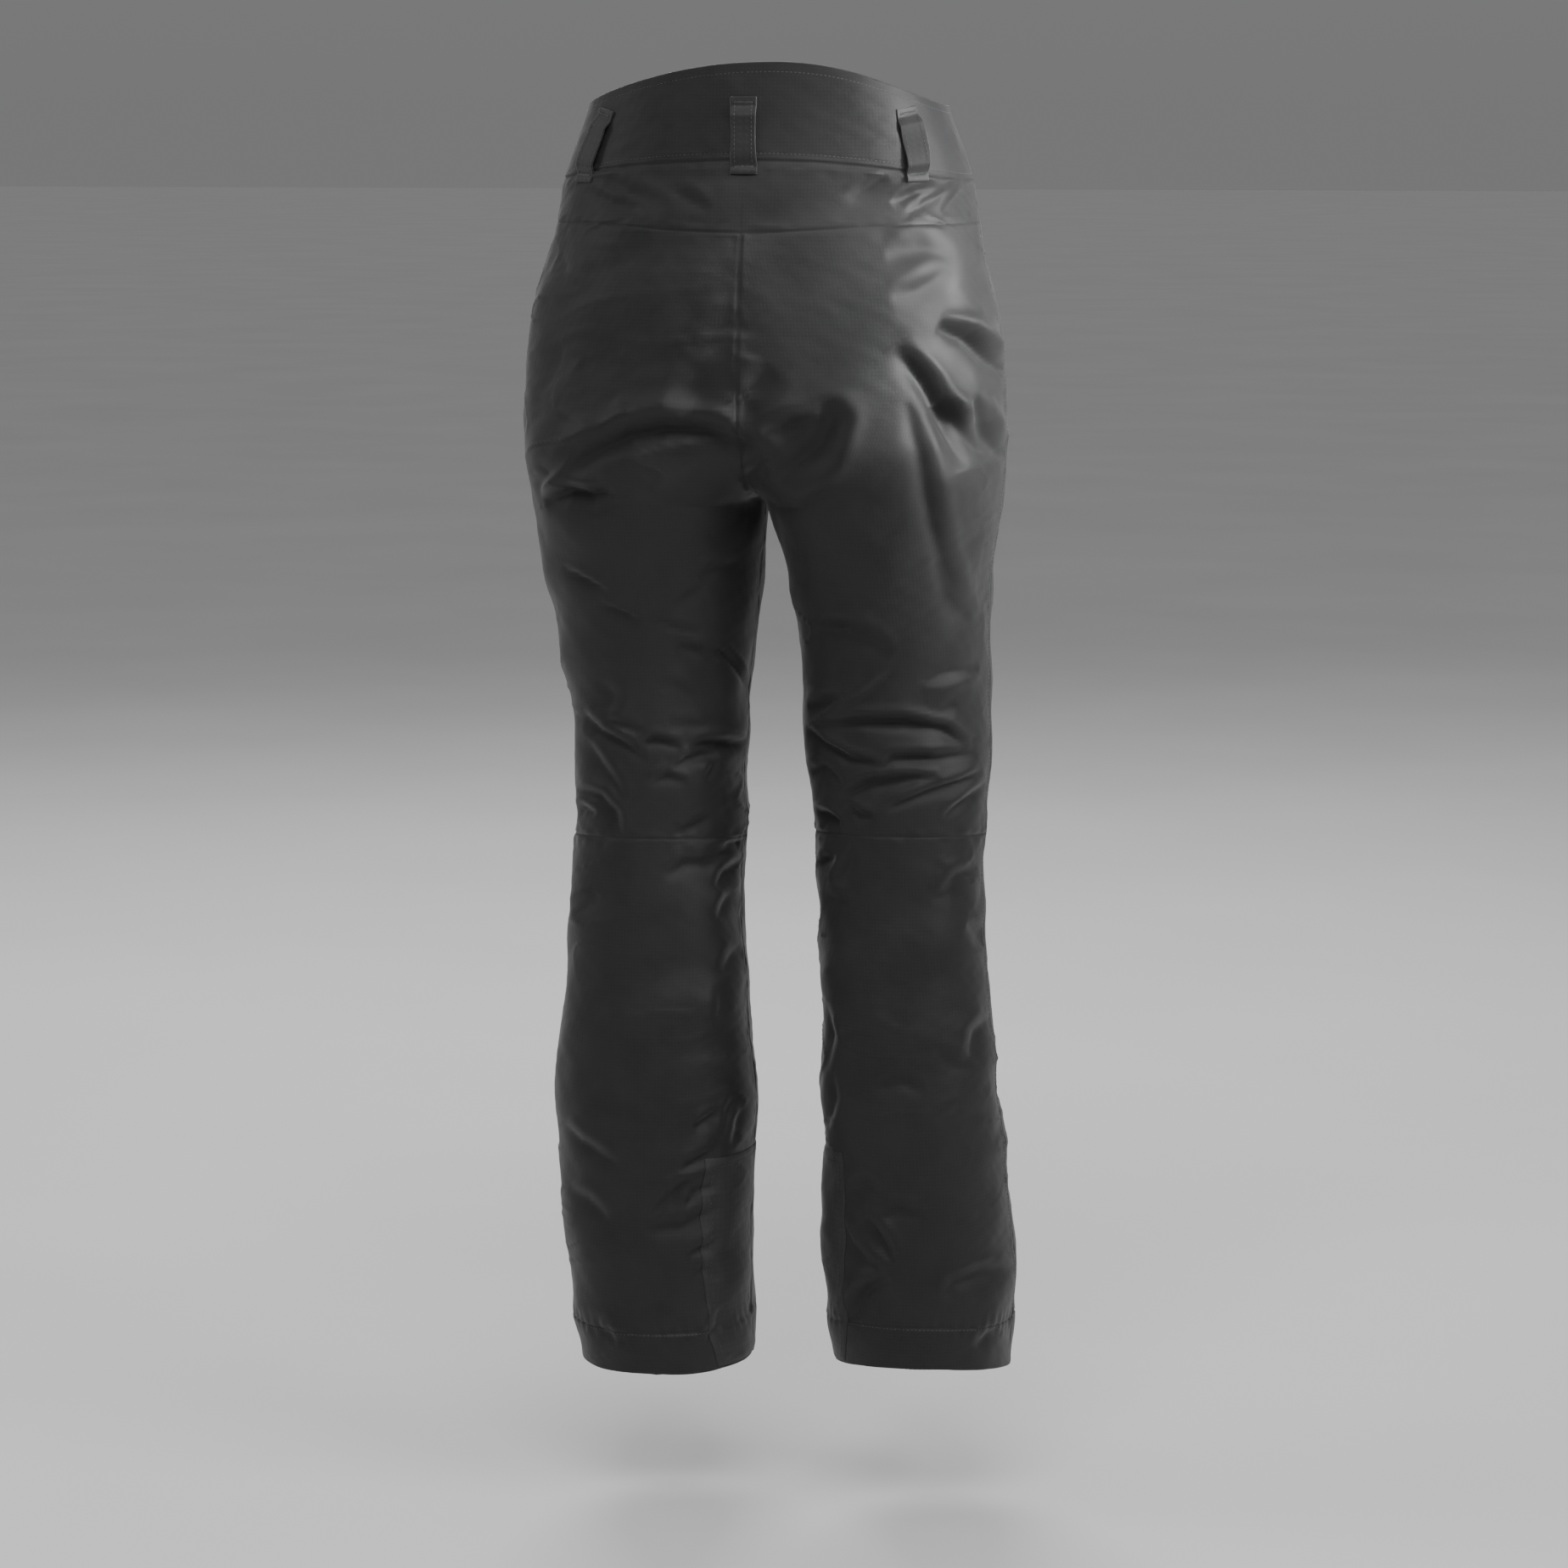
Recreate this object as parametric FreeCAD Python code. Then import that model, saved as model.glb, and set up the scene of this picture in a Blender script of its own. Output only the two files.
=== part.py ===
import FreeCAD, Part
import math
import os

# Ski pants, in millimetres. +Z up, front faces -Y, the wearer's left leg is at +X.
# The origin is the centre of the waist opening, level with its sides.

V = FreeCAD.Vector
SIDES = {"left": 1, "right": -1}

# Layers, each measured inwards from the outer face of the shell fabric
SHELL = 2.0
POCKET_BAG = (2.4, 4.0)
LINING = (4.6, 5.4)
WAIST_FACING = (2.3, 4.3)
GAITER_WALL = 1.6

# Body block: height, half width, front and back reach from the centre line
BODY = [
    (60, 128, 108, 110),
    (0, 145, 110, 112),
    (-44, 161, 112, 116),
    (-94, 172, 112, 128),
    (-155, 188, 112, 143),
    (-215, 196, 112, 149),
    (-280, 195, 112, 142),
    (-323, 192, 109, 128),
]
# Each leg: height, centre x, half width, front y, back y
LEG = {
    "left": [
        (-230, 98, 74, -78, 102),
        (-280, 98, 88, -98, 124),
        (-323, 97, 95, -104, 124),
        (-369, 96, 91, -98, 110),
        (-438, 93, 80, -92, 92),
        (-517, 91, 71, -88, 80),
        (-596, 93, 70, -86, 72),
        (-668, 95, 72, -80, 80),
        (-749, 94, 78, -74, 92),
        (-808, 93, 84, -72, 96),
        (-871, 94, 81, -74, 94),
        (-944, 94, 78, -76, 92),
        (-995, 90, 75, -78, 91),
        (-1037, 86, 72, -78, 90),
    ],
    "right": [
        (-230, -98, 74, -78, 102),
        (-280, -98, 88, -98, 124),
        (-323, -97, 93, -104, 124),
        (-369, -100, 83, -98, 110),
        (-438, -105, 77, -92, 92),
        (-517, -108, 75, -88, 80),
        (-596, -109, 69, -86, 72),
        (-668, -112, 68, -80, 80),
        (-749, -118, 70, -74, 92),
        (-808, -121, 73, -72, 96),
        (-871, -125, 75, -74, 94),
        (-944, -128, 79, -76, 92),
        (-995, -130, 77, -78, 91),
        (-1037, -132, 74, -78, 90),
    ],
}
ROUNDNESS = 2.25  # exponent of the section curve: 2 is an ellipse
SECTION_POINTS = 28

# Heights
WAIST_TOP_BACK = 34
WAIST_TOP_FRONT = -8
WAIST_SEAM_BACK = -41
WAIST_SEAM_FRONT = -50
WAIST_SEAM_SIDE = -57
YOKE_SEAM = -94
CROTCH = -323
KNEE = -596
HEM = -1037
HEM_BAND = 30

# The soft zones that take up the bend at hip and knee
HIP_ZONE_SLOPE = 0.64
HIP_ZONE_TALL = 150
KNEE_ZONE_HALF = 85
ZONE_GAP = 0.4

# Far outside the garment, for cutting tools
FAR = 400

# Front fly and pocket zips
FLY_TOP = -62
FLY_LENGTH = 130
FLY_SINK = 0.7
ZIP_WINDOW = 17.0
WINDOW_END = 3.6
WINDOW_DEEP = 20
LINING_WINDOW_WIDER = 6
LINING_WINDOW_END = 9
ZIP_TAPE = 16.0
TAPE_THICK = 0.8
TOOTH = (3.4, 1.6, 1.3)  # across, out of the tape, along the zip
TOOTH_PITCH = 2.6
CHAIN_GAP = 1.2
TAPE_END = 3.0  # tape beyond the teeth at both ends
FIRST_TOOTH = 4.0
TEETH_SHORTER = 6.0
END_STOP = 2.0
SLIDER = (9.0, 11.0, 0.9)  # width, length, plate thickness
SLIDER_POST = 0.6
SLIDER_POST_LONG = (1.0, 4.0)  # below the slider's upper end
SLIDER_TOP = 3.6  # below the zip's upper end
SLIDER_EDGE = 0.4
SLIDER_LIP = 0.5
SLIDER_LIP_DEEP = 1.05
SLIDER_LIP_END = 1.0
JOIN = 0.1  # how far parts of one solid run into each other
SLIDER_CLEARANCE = 0.35
BAIL_PIN_R = 0.9
BAIL_OUT = 1.6  # from the slider's face to the pin's middle
BAIL_REACH = 3.1
BAIL_POST = (2.2, 3.4)
BAIL_POST_HALF = 1.3
BAIL_POST_OUT = 1.2
PULL_EYE_CLEARANCE = 0.05
PULL = (7.0, 34.0, 1.4)  # width, length, thickness
PULL_EYE_R = 1.5
PULL_EYE_HALF = 1.9
PULL_NECK = 6.0
PULL_GRIP_TOP = 5.0
PULL_CORNER = 2.2
PULL_RIBS = (5, 3.4, 1.6, 0.3)  # count, pitch, height along the grip, how far they stand out
PULL_RIB_INSET = 1.0
POCKET_ZIP_LENGTH = 112
POCKET_TOP = (146.0, -78.0)  # x and z of the upper end
POCKET_LOW = (177.0, -188.0)
POCKET_SINK = 1.2

# Waist tab with its snaps
TAB_X = (-38.0, 20.0)
TAB_Z = (-44.0, -14.0)
TAB_STANDOFF = 3.2
TAB_THICK = 2.0
TAB_CORNER = 9.0
SNAP_X = (-28.0, -10.0)
SNAP_Z = -29.0
SNAP_LEAN = 10.0  # half the height over which the band's lean is taken
SNAP_CLEARANCE = 0.2
SNAP_CAP_R = 6.5
SNAP_CAP_EDGE = 0.6
SNAP_HOLE_CLEARANCE = 0.05
SNAP_WEB = 0.5
SNAP_CAP_THICK = 1.4
SNAP_POST_R = 1.6
SOCKET_R = (2.6, 4.4)
SOCKET_TALL = 1.5
STUD_BASE_R = 4.6
STUD_BASE_TALL = 0.9
STUD_HEAD_R = 2.2
STUD_TALL = 1.9
STUD_GAP = 0.1  # between the base of a stud and the band

# Belt loops: name, angle round the waist from the back (degrees, towards +X)
BELT_LOOPS = [
    ("belt_loop_back_centre", 0),
    ("belt_loop_back_left", 52),
    ("belt_loop_back_right", -52),
    ("belt_loop_front_left", 140),
    ("belt_loop_front_right", -140),
]
LOOP_WIDTH = 22.0
LOOP_TALL = 60.0
LOOP_THICK = 1.4
LOOP_STANDOFF = 6.2
LOOP_FOOT = 7.0
LOOP_TOUCH = 1.0  # from the waistband to the foot of a loop
LOOP_BEND = 4.0
LOOP_SLANT = 0.6
LOOP_EDGE_SIDES = {"back": 18, "front": 22}  # height of the band's top edge at the side loops
LOOP_TOP_BELOW_EDGE = 26.0

# Inner boot gaiter
GAITER_TOP = -875
GAITER_LOW = -1028
GAITER_RING = (60, 66)
GAITER_ELASTIC_TALL = 14
HOOK_WIRE_R = 1.1
HOOK_BEND_R = 3.2
HOOK_PLATE = (12.0, 14.0, 1.0)
HOOK_PLATE_LOW = -2.0
HOOK_GAP = 1.0  # between the gaiter and the plate
HOOK_SINK = 0.5  # how far the wire sits in the plate
HOOK_SHANK = 16.0
HOOK_LOW = -12.0
HOOK_TIP = 5.0

# Scuff guards inside the ankles
PATCH_THICK = 1.0
PATCH_TOP = -860


def section(centre_x, half_x, front, back, z, inset):
    """One closed level curve of the garment, moved inwards by inset."""
    middle = (front + back) / 2
    half_y = (back - front) / 2 - inset
    half_x = half_x - inset
    points = []
    for i in range(SECTION_POINTS):
        angle = 2 * math.pi * i / SECTION_POINTS
        x = abs(math.cos(angle)) ** (2 / ROUNDNESS)
        y = abs(math.sin(angle)) ** (2 / ROUNDNESS)
        x = math.copysign(x, math.cos(angle))
        y = math.copysign(y, math.sin(angle))
        points.append(V(centre_x + half_x * x, middle + half_y * y, z))
    curve = Part.BSplineCurve()
    curve.interpolate(points, PeriodicFlag=True)
    return Part.Wire([curve.toShape()])


def loft(wires):
    return Part.makeLoft(wires, True, False)


def block(x0, x1, y0, y1, z0, z1):
    return Part.makeBox(x1 - x0, y1 - y0, z1 - z0, V(x0, y0, z0))


def prism(outline, y0, y1):
    """A plate cut to an outline of (x, z) points, reaching from y0 to y1."""
    points = [V(x, y0, z) for x, z in outline]
    face = Part.Face(Part.makePolygon(points + points[:1]))
    return face.extrude(V(0, y1 - y0, 0))


def arc_prism(low_z, side_z, middle_z, y0, y1, half=FAR):
    """All below an arched edge that is at side_z at the sides and middle_z in the middle."""
    side = 152
    arc = Part.Arc(V(-side, y0, side_z), V(0, y0, middle_z), V(side, y0, side_z)).toShape()
    ends = [V(side, y0, side_z), V(half, y0, side_z), V(half, y0, low_z), V(-half, y0, low_z)]
    ends += [V(-half, y0, side_z), V(-side, y0, side_z)]
    rest = Part.makePolygon(ends)
    wire = Part.Wire([arc] + rest.Edges)
    return Part.Face(wire).extrude(V(0, y1 - y0, 0))


def fuse(shapes):
    shape = shapes[0].multiFuse(shapes[1:])
    return shape.removeSplitter()


def body_block(inset):
    wires = []
    for z, half_x, front, back in BODY:
        level = z
        if z == CROTCH:
            level = z + max(inset, 0)
        wires.append(section(0, half_x, -front, back, level, inset))
    return loft(wires)


def leg_block(side, inset):
    wires = [section(x, half_x, f, b, z, inset) for z, x, half_x, f, b in LEG[side]]
    return loft(wires)


def garment(inset):
    """The solid space inside the outer face, moved inwards by inset."""
    return fuse([body_block(inset), leg_block("left", inset), leg_block("right", inset)])


def leg_at(side, z):
    """Centre x, half width, front y and back y of a leg at a height."""
    rows = LEG[side]
    for high, low in zip(rows, rows[1:]):
        if low[0] <= z <= high[0]:
            share = (high[0] - z) / (high[0] - low[0])
            return [a + (b - a) * share for a, b in zip(high[1:], low[1:])]
    return rows[-1][1:]


def body_at(z):
    for high, low in zip(BODY, BODY[1:]):
        if low[0] <= z <= high[0]:
            share = (high[0] - z) / (high[0] - low[0])
            return [a + (b - a) * share for a, b in zip(high[1:], low[1:])]
    return BODY[-1][1:]


def body_point(x, z, back):
    """Point on the outer face of the body block and its outward normal in plan."""
    half_x, front, behind = body_at(z)
    middle = (behind - front) / 2
    half_y = (behind + front) / 2
    share = min(abs(x) / half_x, 0.999)
    y = half_y * (1 - share**ROUNDNESS) ** (1 / ROUNDNESS)
    nx = math.copysign(share ** (ROUNDNESS - 1) / half_x, x)
    ny = (y / half_y) ** (ROUNDNESS - 1) / half_y
    sign = 1 if back else -1
    normal = V(nx, sign * ny, 0)
    normal.normalize()
    return V(x, middle + sign * y, z), normal


def frame_at(point, normal, up):
    """Placement whose -Y is the outward normal and whose +Z is up along the surface."""
    out = V(normal)
    out.normalize()
    along = up - out * up.dot(out)
    along.normalize()
    back = out * -1
    across = back.cross(along)
    m = FreeCAD.Matrix(
        across.x, back.x, along.x, point.x,
        across.y, back.y, along.y, point.y,
        across.z, back.z, along.z, point.z,
        0, 0, 0, 1,
    )
    return FreeCAD.Placement(m)


def placed(shape, placement):
    shape = shape.copy()
    shape.Placement = placement.multiply(shape.Placement)
    return shape


# ---- cutting tools -------------------------------------------------------------------

def hip_plane(x):
    return CROTCH + HIP_ZONE_SLOPE * abs(x)


def above_hip(side, gap=0.0):
    """Everything on one side above the slanted start of the hip zone."""
    s = SIDES[side]
    outline = [(0, hip_plane(0) + gap), (s * FAR, hip_plane(FAR) + gap), (s * FAR, FAR), (0, FAR)]
    return prism(outline, -FAR, FAR)


def hip_band(side):
    s = SIDES[side]
    top, low = -ZONE_GAP, ZONE_GAP - HIP_ZONE_TALL
    outline = [(0, hip_plane(0) + top), (s * FAR, hip_plane(FAR) + top)]
    outline += [(s * FAR, hip_plane(FAR) + low), (0, hip_plane(0) + low)]
    return prism(outline, -FAR, FAR)


def thigh_band(side):
    s = SIDES[side]
    low = KNEE + KNEE_ZONE_HALF
    outline = [(0, hip_plane(0) - HIP_ZONE_TALL), (s * FAR, hip_plane(FAR) - HIP_ZONE_TALL)]
    outline += [(s * FAR, low), (0, low)]
    return prism(outline, -FAR, FAR)


def level_band(side, low, high):
    x0, x1 = sorted((0, SIDES[side] * FAR))
    return block(x0, x1, -FAR, FAR, low, high)


def half_space(back):
    return block(-FAR, FAR, 0, FAR, -3 * FAR, FAR) if back else block(-FAR, FAR, -FAR, 0, -3 * FAR, FAR)


def waist_top():
    """All of the garment's height below the arched top edge."""
    low = 3 * -FAR
    back = arc_prism(low, 0, WAIST_TOP_BACK, 0, FAR)
    front = arc_prism(low, 0, WAIST_TOP_FRONT, -FAR, 0)
    return back.fuse(front)


def below_waist_seam():
    low = 3 * -FAR
    back = arc_prism(low, WAIST_SEAM_SIDE, WAIST_SEAM_BACK, 0, FAR)
    front = arc_prism(low, WAIST_SEAM_SIDE, WAIST_SEAM_FRONT, -FAR, 0)
    return back.fuse(front)


# ---- zips ----------------------------------------------------------------------------
# A zip is drawn upright in its own frame: closed end at the top at z 0, outward is -Y.

def zip_tape(length):
    """Two tapes side by side, joined by the stitched end below the teeth."""
    half = ZIP_TAPE / 2
    inner = CHAIN_GAP / 2
    left = block(-half, -inner, 0, TAPE_THICK, -length, 0)
    right = block(inner, half, 0, TAPE_THICK, -length, 0)
    foot = block(-half, half, 0, TAPE_THICK, -length - TAPE_END, -length)
    head = block(-half, half, 0, TAPE_THICK, 0, TAPE_END)
    return fuse([left, right, foot, head])


def zip_teeth(length):
    """Moulded teeth on both tapes, staggered by half a pitch, with the two end stops."""
    across, out, along = TOOTH
    inner = CHAIN_GAP / 2
    count = int((length - TEETH_SHORTER) / TOOTH_PITCH)
    teeth = []
    for i in range(count):
        z = -FIRST_TOOTH - i * TOOTH_PITCH
        for s in (-1, 1):
            low = z - along + (TOOTH_PITCH / 2 if s > 0 else 0)
            x0, x1 = sorted((s * inner, s * (inner + across)))
            teeth.append(block(x0, x1, -out, 0, low, low + along))
    reach = inner + across
    teeth.append(block(-reach, reach, -out, 0, -length, -length + END_STOP))
    return Part.makeCompound(teeth)


def zip_slider():
    """Slider body: two plates joined by a post in the chain gap, with a bail on top."""
    width, tall, plate = SLIDER
    top_y = -TOOTH[1] - SLIDER_CLEARANCE
    under_y = TAPE_THICK + SLIDER_CLEARANCE
    z1 = -SLIDER_TOP
    z0 = z1 - tall
    top = block(-width / 2, width / 2, top_y - plate, top_y, z0, z1)
    top = top.makeFillet(SLIDER_EDGE, top.Edges)
    under = block(-width / 2, width / 2, under_y, under_y + plate, z0, z1)
    under = under.makeFillet(SLIDER_EDGE, under.Edges)
    half = SLIDER_POST / 2
    post_top, post_low = SLIDER_POST_LONG
    post = block(-half, half, top_y - JOIN, under_y + JOIN, z1 - post_low, z1 - post_top)
    reach = CHAIN_GAP / 2 + TOOTH[0] + SLIDER_CLEARANCE
    lips = []
    for s in (-1, 1):
        x0, x1 = sorted((s * reach, s * (reach + SLIDER_LIP)))
        lip_z = (z0 + SLIDER_LIP_END, z1 - SLIDER_LIP_END)
        lips.append(block(x0, x1, top_y - 3 * JOIN, top_y + SLIDER_LIP_DEEP, *lip_z))
    return fuse([top, under, post] + lips + bail(top_y - plate, z1 - tall / 2))


def bail(base_y, z):
    """Two short posts and the cross pin that the pull hangs on."""
    pin_y = base_y - BAIL_OUT
    reach = BAIL_REACH
    parts = [Part.makeCylinder(BAIL_PIN_R, 2 * reach, V(-reach, pin_y, z), V(1, 0, 0))]
    for s in (-1, 1):
        x0, x1 = sorted((s * BAIL_POST[0], s * BAIL_POST[1]))
        low, high = z - BAIL_POST_HALF, z + BAIL_POST_HALF
        parts.append(block(x0, x1, pin_y - BAIL_POST_OUT, base_y + 2 * JOIN, low, high))
    return parts


def zip_pull():
    """Moulded pull: an eye round the bail pin and a flat grip that hangs from it."""
    width, long, thick = PULL
    base_y = -TOOTH[1] - SLIDER_CLEARANCE - SLIDER[2]
    pin_y = base_y - BAIL_OUT
    z = -SLIDER_TOP - SLIDER[1] / 2
    eye_r = BAIL_PIN_R + PULL_EYE_CLEARANCE
    half = PULL_EYE_HALF
    front, rear = pin_y - thick / 2, pin_y + thick / 2
    eye = Part.makeCylinder(PULL_EYE_R, 2 * half, V(-half, pin_y, z), V(1, 0, 0))
    neck = block(-half, half, front, rear, z - PULL_NECK, z)
    grip = block(-width / 2, width / 2, front, rear, z - long, z - PULL_GRIP_TOP)
    uprights = [e for e in grip.Edges if abs(e.Vertexes[0].Y - e.Vertexes[-1].Y) > thick / 2]
    grip = grip.makeFillet(PULL_CORNER, uprights)
    count, pitch, tall, out = PULL_RIBS
    side = width / 2 - PULL_RIB_INSET
    ribs = []
    for i in range(count):
        low = z - long + PULL_GRIP_TOP + pitch * i
        ribs.append(block(-side, side, front - out, pin_y, low, low + tall))
    hole = Part.makeCylinder(eye_r, 2 * half + 2, V(-half - 1, pin_y, z), V(1, 0, 0))
    return fuse([eye, neck, grip] + ribs).cut(hole)


def zip_window(length):
    """The slot in the shell that the zip shows through."""
    half = ZIP_WINDOW / 2
    return block(-half, half, -WINDOW_DEEP, WINDOW_DEEP, -length - WINDOW_END, WINDOW_END)


def lining_window(length):
    half = ZIP_WINDOW / 2 + LINING_WINDOW_WIDER
    end = LINING_WINDOW_END
    return block(-half, half, -LINING_WINDOW_WIDER, WINDOW_DEEP, -length - end, end)


def fly_placement():
    face_y = body_point(0, FLY_TOP, False)[0].y
    return frame_at(V(0, face_y + FLY_SINK, FLY_TOP), V(0, -1, 0), V(0, 0, 1))


def pocket_placement(side):
    s = SIDES[side]
    high = body_point(s * POCKET_TOP[0], POCKET_TOP[1], False)[0]
    low = body_point(s * POCKET_LOW[0], POCKET_LOW[1], False)[0]
    middle_x = s * (POCKET_TOP[0] + POCKET_LOW[0]) / 2
    normal = body_point(middle_x, (POCKET_TOP[1] + POCKET_LOW[1]) / 2, False)[1]
    up = high - low
    up.normalize()
    out = normal - up * normal.dot(up)
    out.normalize()
    start = high - out * POCKET_SINK
    return frame_at(start, out, up)


ZIPS = {"fly": FLY_LENGTH, "pocket_left": POCKET_ZIP_LENGTH, "pocket_right": POCKET_ZIP_LENGTH}


def zip_placement(name):
    if name == "fly":
        return fly_placement()
    return pocket_placement(name.split("_")[1])


def zip_nodes():
    nodes = {}
    for name, length in ZIPS.items():
        place = zip_placement(name)
        nodes[name + "_zip_tape"] = placed(zip_tape(length), place)
        nodes[name + "_zip_teeth"] = placed(zip_teeth(length), place)
        nodes[name + "_zip_slider"] = placed(zip_slider(), place)
        nodes[name + "_zip_pull"] = placed(zip_pull(), place)
    return nodes


# ---- waistband -----------------------------------------------------------------------

def waistband_nodes(shell, facing, top, below):
    band = shell.common(top).cut(below)
    nodes = {"waistband_back": band.common(half_space(True))}
    front = band.common(half_space(False))
    for side in SIDES:
        nodes["waistband_front_" + side] = front.common(level_band(side, -FAR, FAR))
    nodes["waistband_facing"] = facing.common(top).cut(below)
    return nodes


def waist_tab():
    """Curved strap over the front closure, on the wearer's left, with its two snap holes."""
    inner = loft([section(0, h, -f, b, z, -TAB_STANDOFF) for z, h, f, b in BODY[:4]])
    outer_inset = -TAB_STANDOFF - TAB_THICK
    outer = loft([section(0, h, -f, b, z, outer_inset) for z, h, f, b in BODY[:4]])
    cutter = block(TAB_X[0], TAB_X[1], -FAR, -60, TAB_Z[0], TAB_Z[1])
    rounded = [e for e in cutter.Edges if abs(e.Vertexes[0].Y - e.Vertexes[-1].Y) > 60]
    free_end = [e for e in rounded if e.Vertexes[0].X < 0]
    cutter = cutter.makeFillet(TAB_CORNER, free_end)
    tab = outer.cut(inner).common(cutter)
    for x in SNAP_X:
        hole = Part.makeCylinder(SNAP_POST_R + SNAP_HOLE_CLEARANCE, FAR, V(0, -FAR / 2, 0), V(0, 1, 0))
        tab = tab.cut(placed(hole, snap_placement(x)))
    return tab


def snap_placement(x):
    """Where a snap sits on the band, leaning with it."""
    high = body_point(x, SNAP_Z + SNAP_LEAN, False)[0]
    low = body_point(x, SNAP_Z - SNAP_LEAN, False)[0]
    normal = body_point(x, SNAP_Z, False)[1]
    up = high - low
    out = normal - up * (normal.dot(up) / up.dot(up))
    return frame_at((high + low) * 0.5, out, up)


def snap_cap():
    """Domed cap outside the tab, its post, and the socket ring inside the tab."""
    face = -TAB_STANDOFF - TAB_THICK - SNAP_CLEARANCE
    cap = Part.makeCylinder(SNAP_CAP_R, SNAP_CAP_THICK, V(0, face - SNAP_CAP_THICK, 0), V(0, 1, 0))
    rim = [e for e in cap.Edges if e.BoundBox.YMax < face - JOIN]
    cap = cap.makeFillet(SNAP_CAP_EDGE, rim)
    back = -TAB_STANDOFF + SNAP_CLEARANCE
    post = Part.makeCylinder(SNAP_POST_R, back - face + 4 * JOIN, V(0, face - 2 * JOIN, 0), V(0, 1, 0))
    web = Part.makeCylinder(SOCKET_R[1], SNAP_WEB, V(0, back, 0), V(0, 1, 0))
    ring = Part.makeCylinder(SOCKET_R[1], SOCKET_TALL, V(0, back, 0), V(0, 1, 0))
    bore = Part.makeCylinder(SOCKET_R[0], SOCKET_TALL, V(0, back + SNAP_WEB, 0), V(0, 1, 0))
    return fuse([cap, post, web, ring.cut(bore)])


def snap_stud():
    """Stud on the waistband: a flat base and a round-headed peg."""
    face = -SNAP_CLEARANCE
    base = Part.makeCylinder(STUD_BASE_R, STUD_BASE_TALL, V(0, face - STUD_BASE_TALL, 0), V(0, 1, 0))
    head = Part.makeCylinder(STUD_HEAD_R, STUD_TALL, V(0, face - STUD_TALL, 0), V(0, 1, 0))
    return fuse([base, head])


def tab_nodes():
    caps = [placed(snap_cap(), snap_placement(x)) for x in SNAP_X]
    band = body_block(-STUD_GAP)
    studs = [placed(snap_stud(), snap_placement(x)).cut(band) for x in SNAP_X]
    return {
        "waist_tab": waist_tab(),
        "snap_caps": Part.makeCompound(caps),
        "snap_studs": Part.makeCompound(studs),
    }


def loop_profile():
    """Side view of a belt loop in (out, up): feet at both ends, bowed out between them."""
    outer = LOOP_STANDOFF + LOOP_THICK
    touch = LOOP_TOUCH
    half = LOOP_TALL / 2
    foot = half - LOOP_FOOT
    bend = foot - LOOP_BEND
    line = [
        (touch, half), (touch, foot), (LOOP_STANDOFF, bend), (LOOP_STANDOFF, -bend),
        (touch, -foot), (touch, -half), (touch + LOOP_THICK, -half),
        (touch + LOOP_THICK, -foot - LOOP_SLANT), (outer, -bend - LOOP_SLANT), (outer, bend + LOOP_SLANT),
        (touch + LOOP_THICK, foot + LOOP_SLANT), (touch + LOOP_THICK, half),
    ]
    return line


def loop_placement(angle):
    """Where a loop sits: its middle on the waistband, its back leaning with the fabric."""
    back = abs(angle) < 90
    turn = math.radians(angle)
    edge = WAIST_TOP_BACK if angle == 0 else LOOP_EDGE_SIDES["back" if back else "front"]
    top = edge - LOOP_TOP_BELOW_EDGE
    middle = top - LOOP_TALL / 2
    half_x = body_at(middle)[0]
    x = half_x * math.copysign(abs(math.sin(turn)) ** (2 / ROUNDNESS), turn)
    share = x / half_x
    high, normal = body_point(share * body_at(top)[0], top, back)
    low = body_point(share * body_at(top - LOOP_TALL)[0], top - LOOP_TALL, back)[0]
    point, normal = body_point(x, middle, back)
    up = high - low
    out = normal - up * (normal.dot(up) / up.dot(up))
    return frame_at((high + low) * 0.5, out, up)


def belt_loop(angle):
    half = LOOP_WIDTH / 2
    points = [V(-half, -out, up) for out, up in loop_profile()]
    face = Part.Face(Part.makePolygon(points + points[:1]))
    return placed(face.extrude(V(LOOP_WIDTH, 0, 0)), loop_placement(angle))


# ---- panels --------------------------------------------------------------------------

def cut_windows(shape, maker):
    for name, length in ZIPS.items():
        shape = shape.cut(placed(maker(length), zip_placement(name)))
    return shape


def upper_nodes(shell, lining, below):
    """Yoke, seat and front hip panels, and the lining behind them."""
    hips = shell.common(below)
    back = hips.common(half_space(True))
    nodes = {"back_yoke": back.common(block(-FAR, FAR, 0, FAR, YOKE_SEAM, 0))}
    seat = back.common(block(-FAR, FAR, 0, FAR, -FAR, YOKE_SEAM))
    front = cut_windows(hips.common(half_space(False)), zip_window)
    for side in SIDES:
        nodes["seat_panel_" + side] = seat.common(above_hip(side))
        nodes["front_hip_panel_" + side] = front.common(above_hip(side))
        nodes["hip_zone_" + side] = hips.common(hip_band(side))
    hip_lining = lining.common(below).common(above_hip("left").fuse(above_hip("right")))
    nodes["lining_hips"] = cut_windows(hip_lining, lining_window)
    return nodes


def fly_shield():
    """Flat guard behind the fly zip, between the tapes and the lining."""
    face_y = body_point(0, FLY_TOP, False)[0].y
    y0 = face_y + 3.4
    shield = block(-13, 13, y0, y0 + 1.0, FLY_TOP - FLY_LENGTH - 8, FLY_TOP + 8)
    uprights = [e for e in shield.Edges if abs(e.Vertexes[0].Y - e.Vertexes[-1].Y) > 0.5]
    return shield.makeFillet(5, uprights)


def pocket_bag(side, layer):
    """Flat hand pocket between shell and lining, from the zip towards the front."""
    s = SIDES[side]
    outline = [(62, -96), (138, -84), (158, -196), (150, -214), (78, -214), (62, -190)]
    bag = layer.common(prism([(s * x, z) for x, z in outline], -FAR, 0))
    return bag.cut(placed(lining_window(POCKET_ZIP_LENGTH), pocket_placement(side)))


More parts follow.
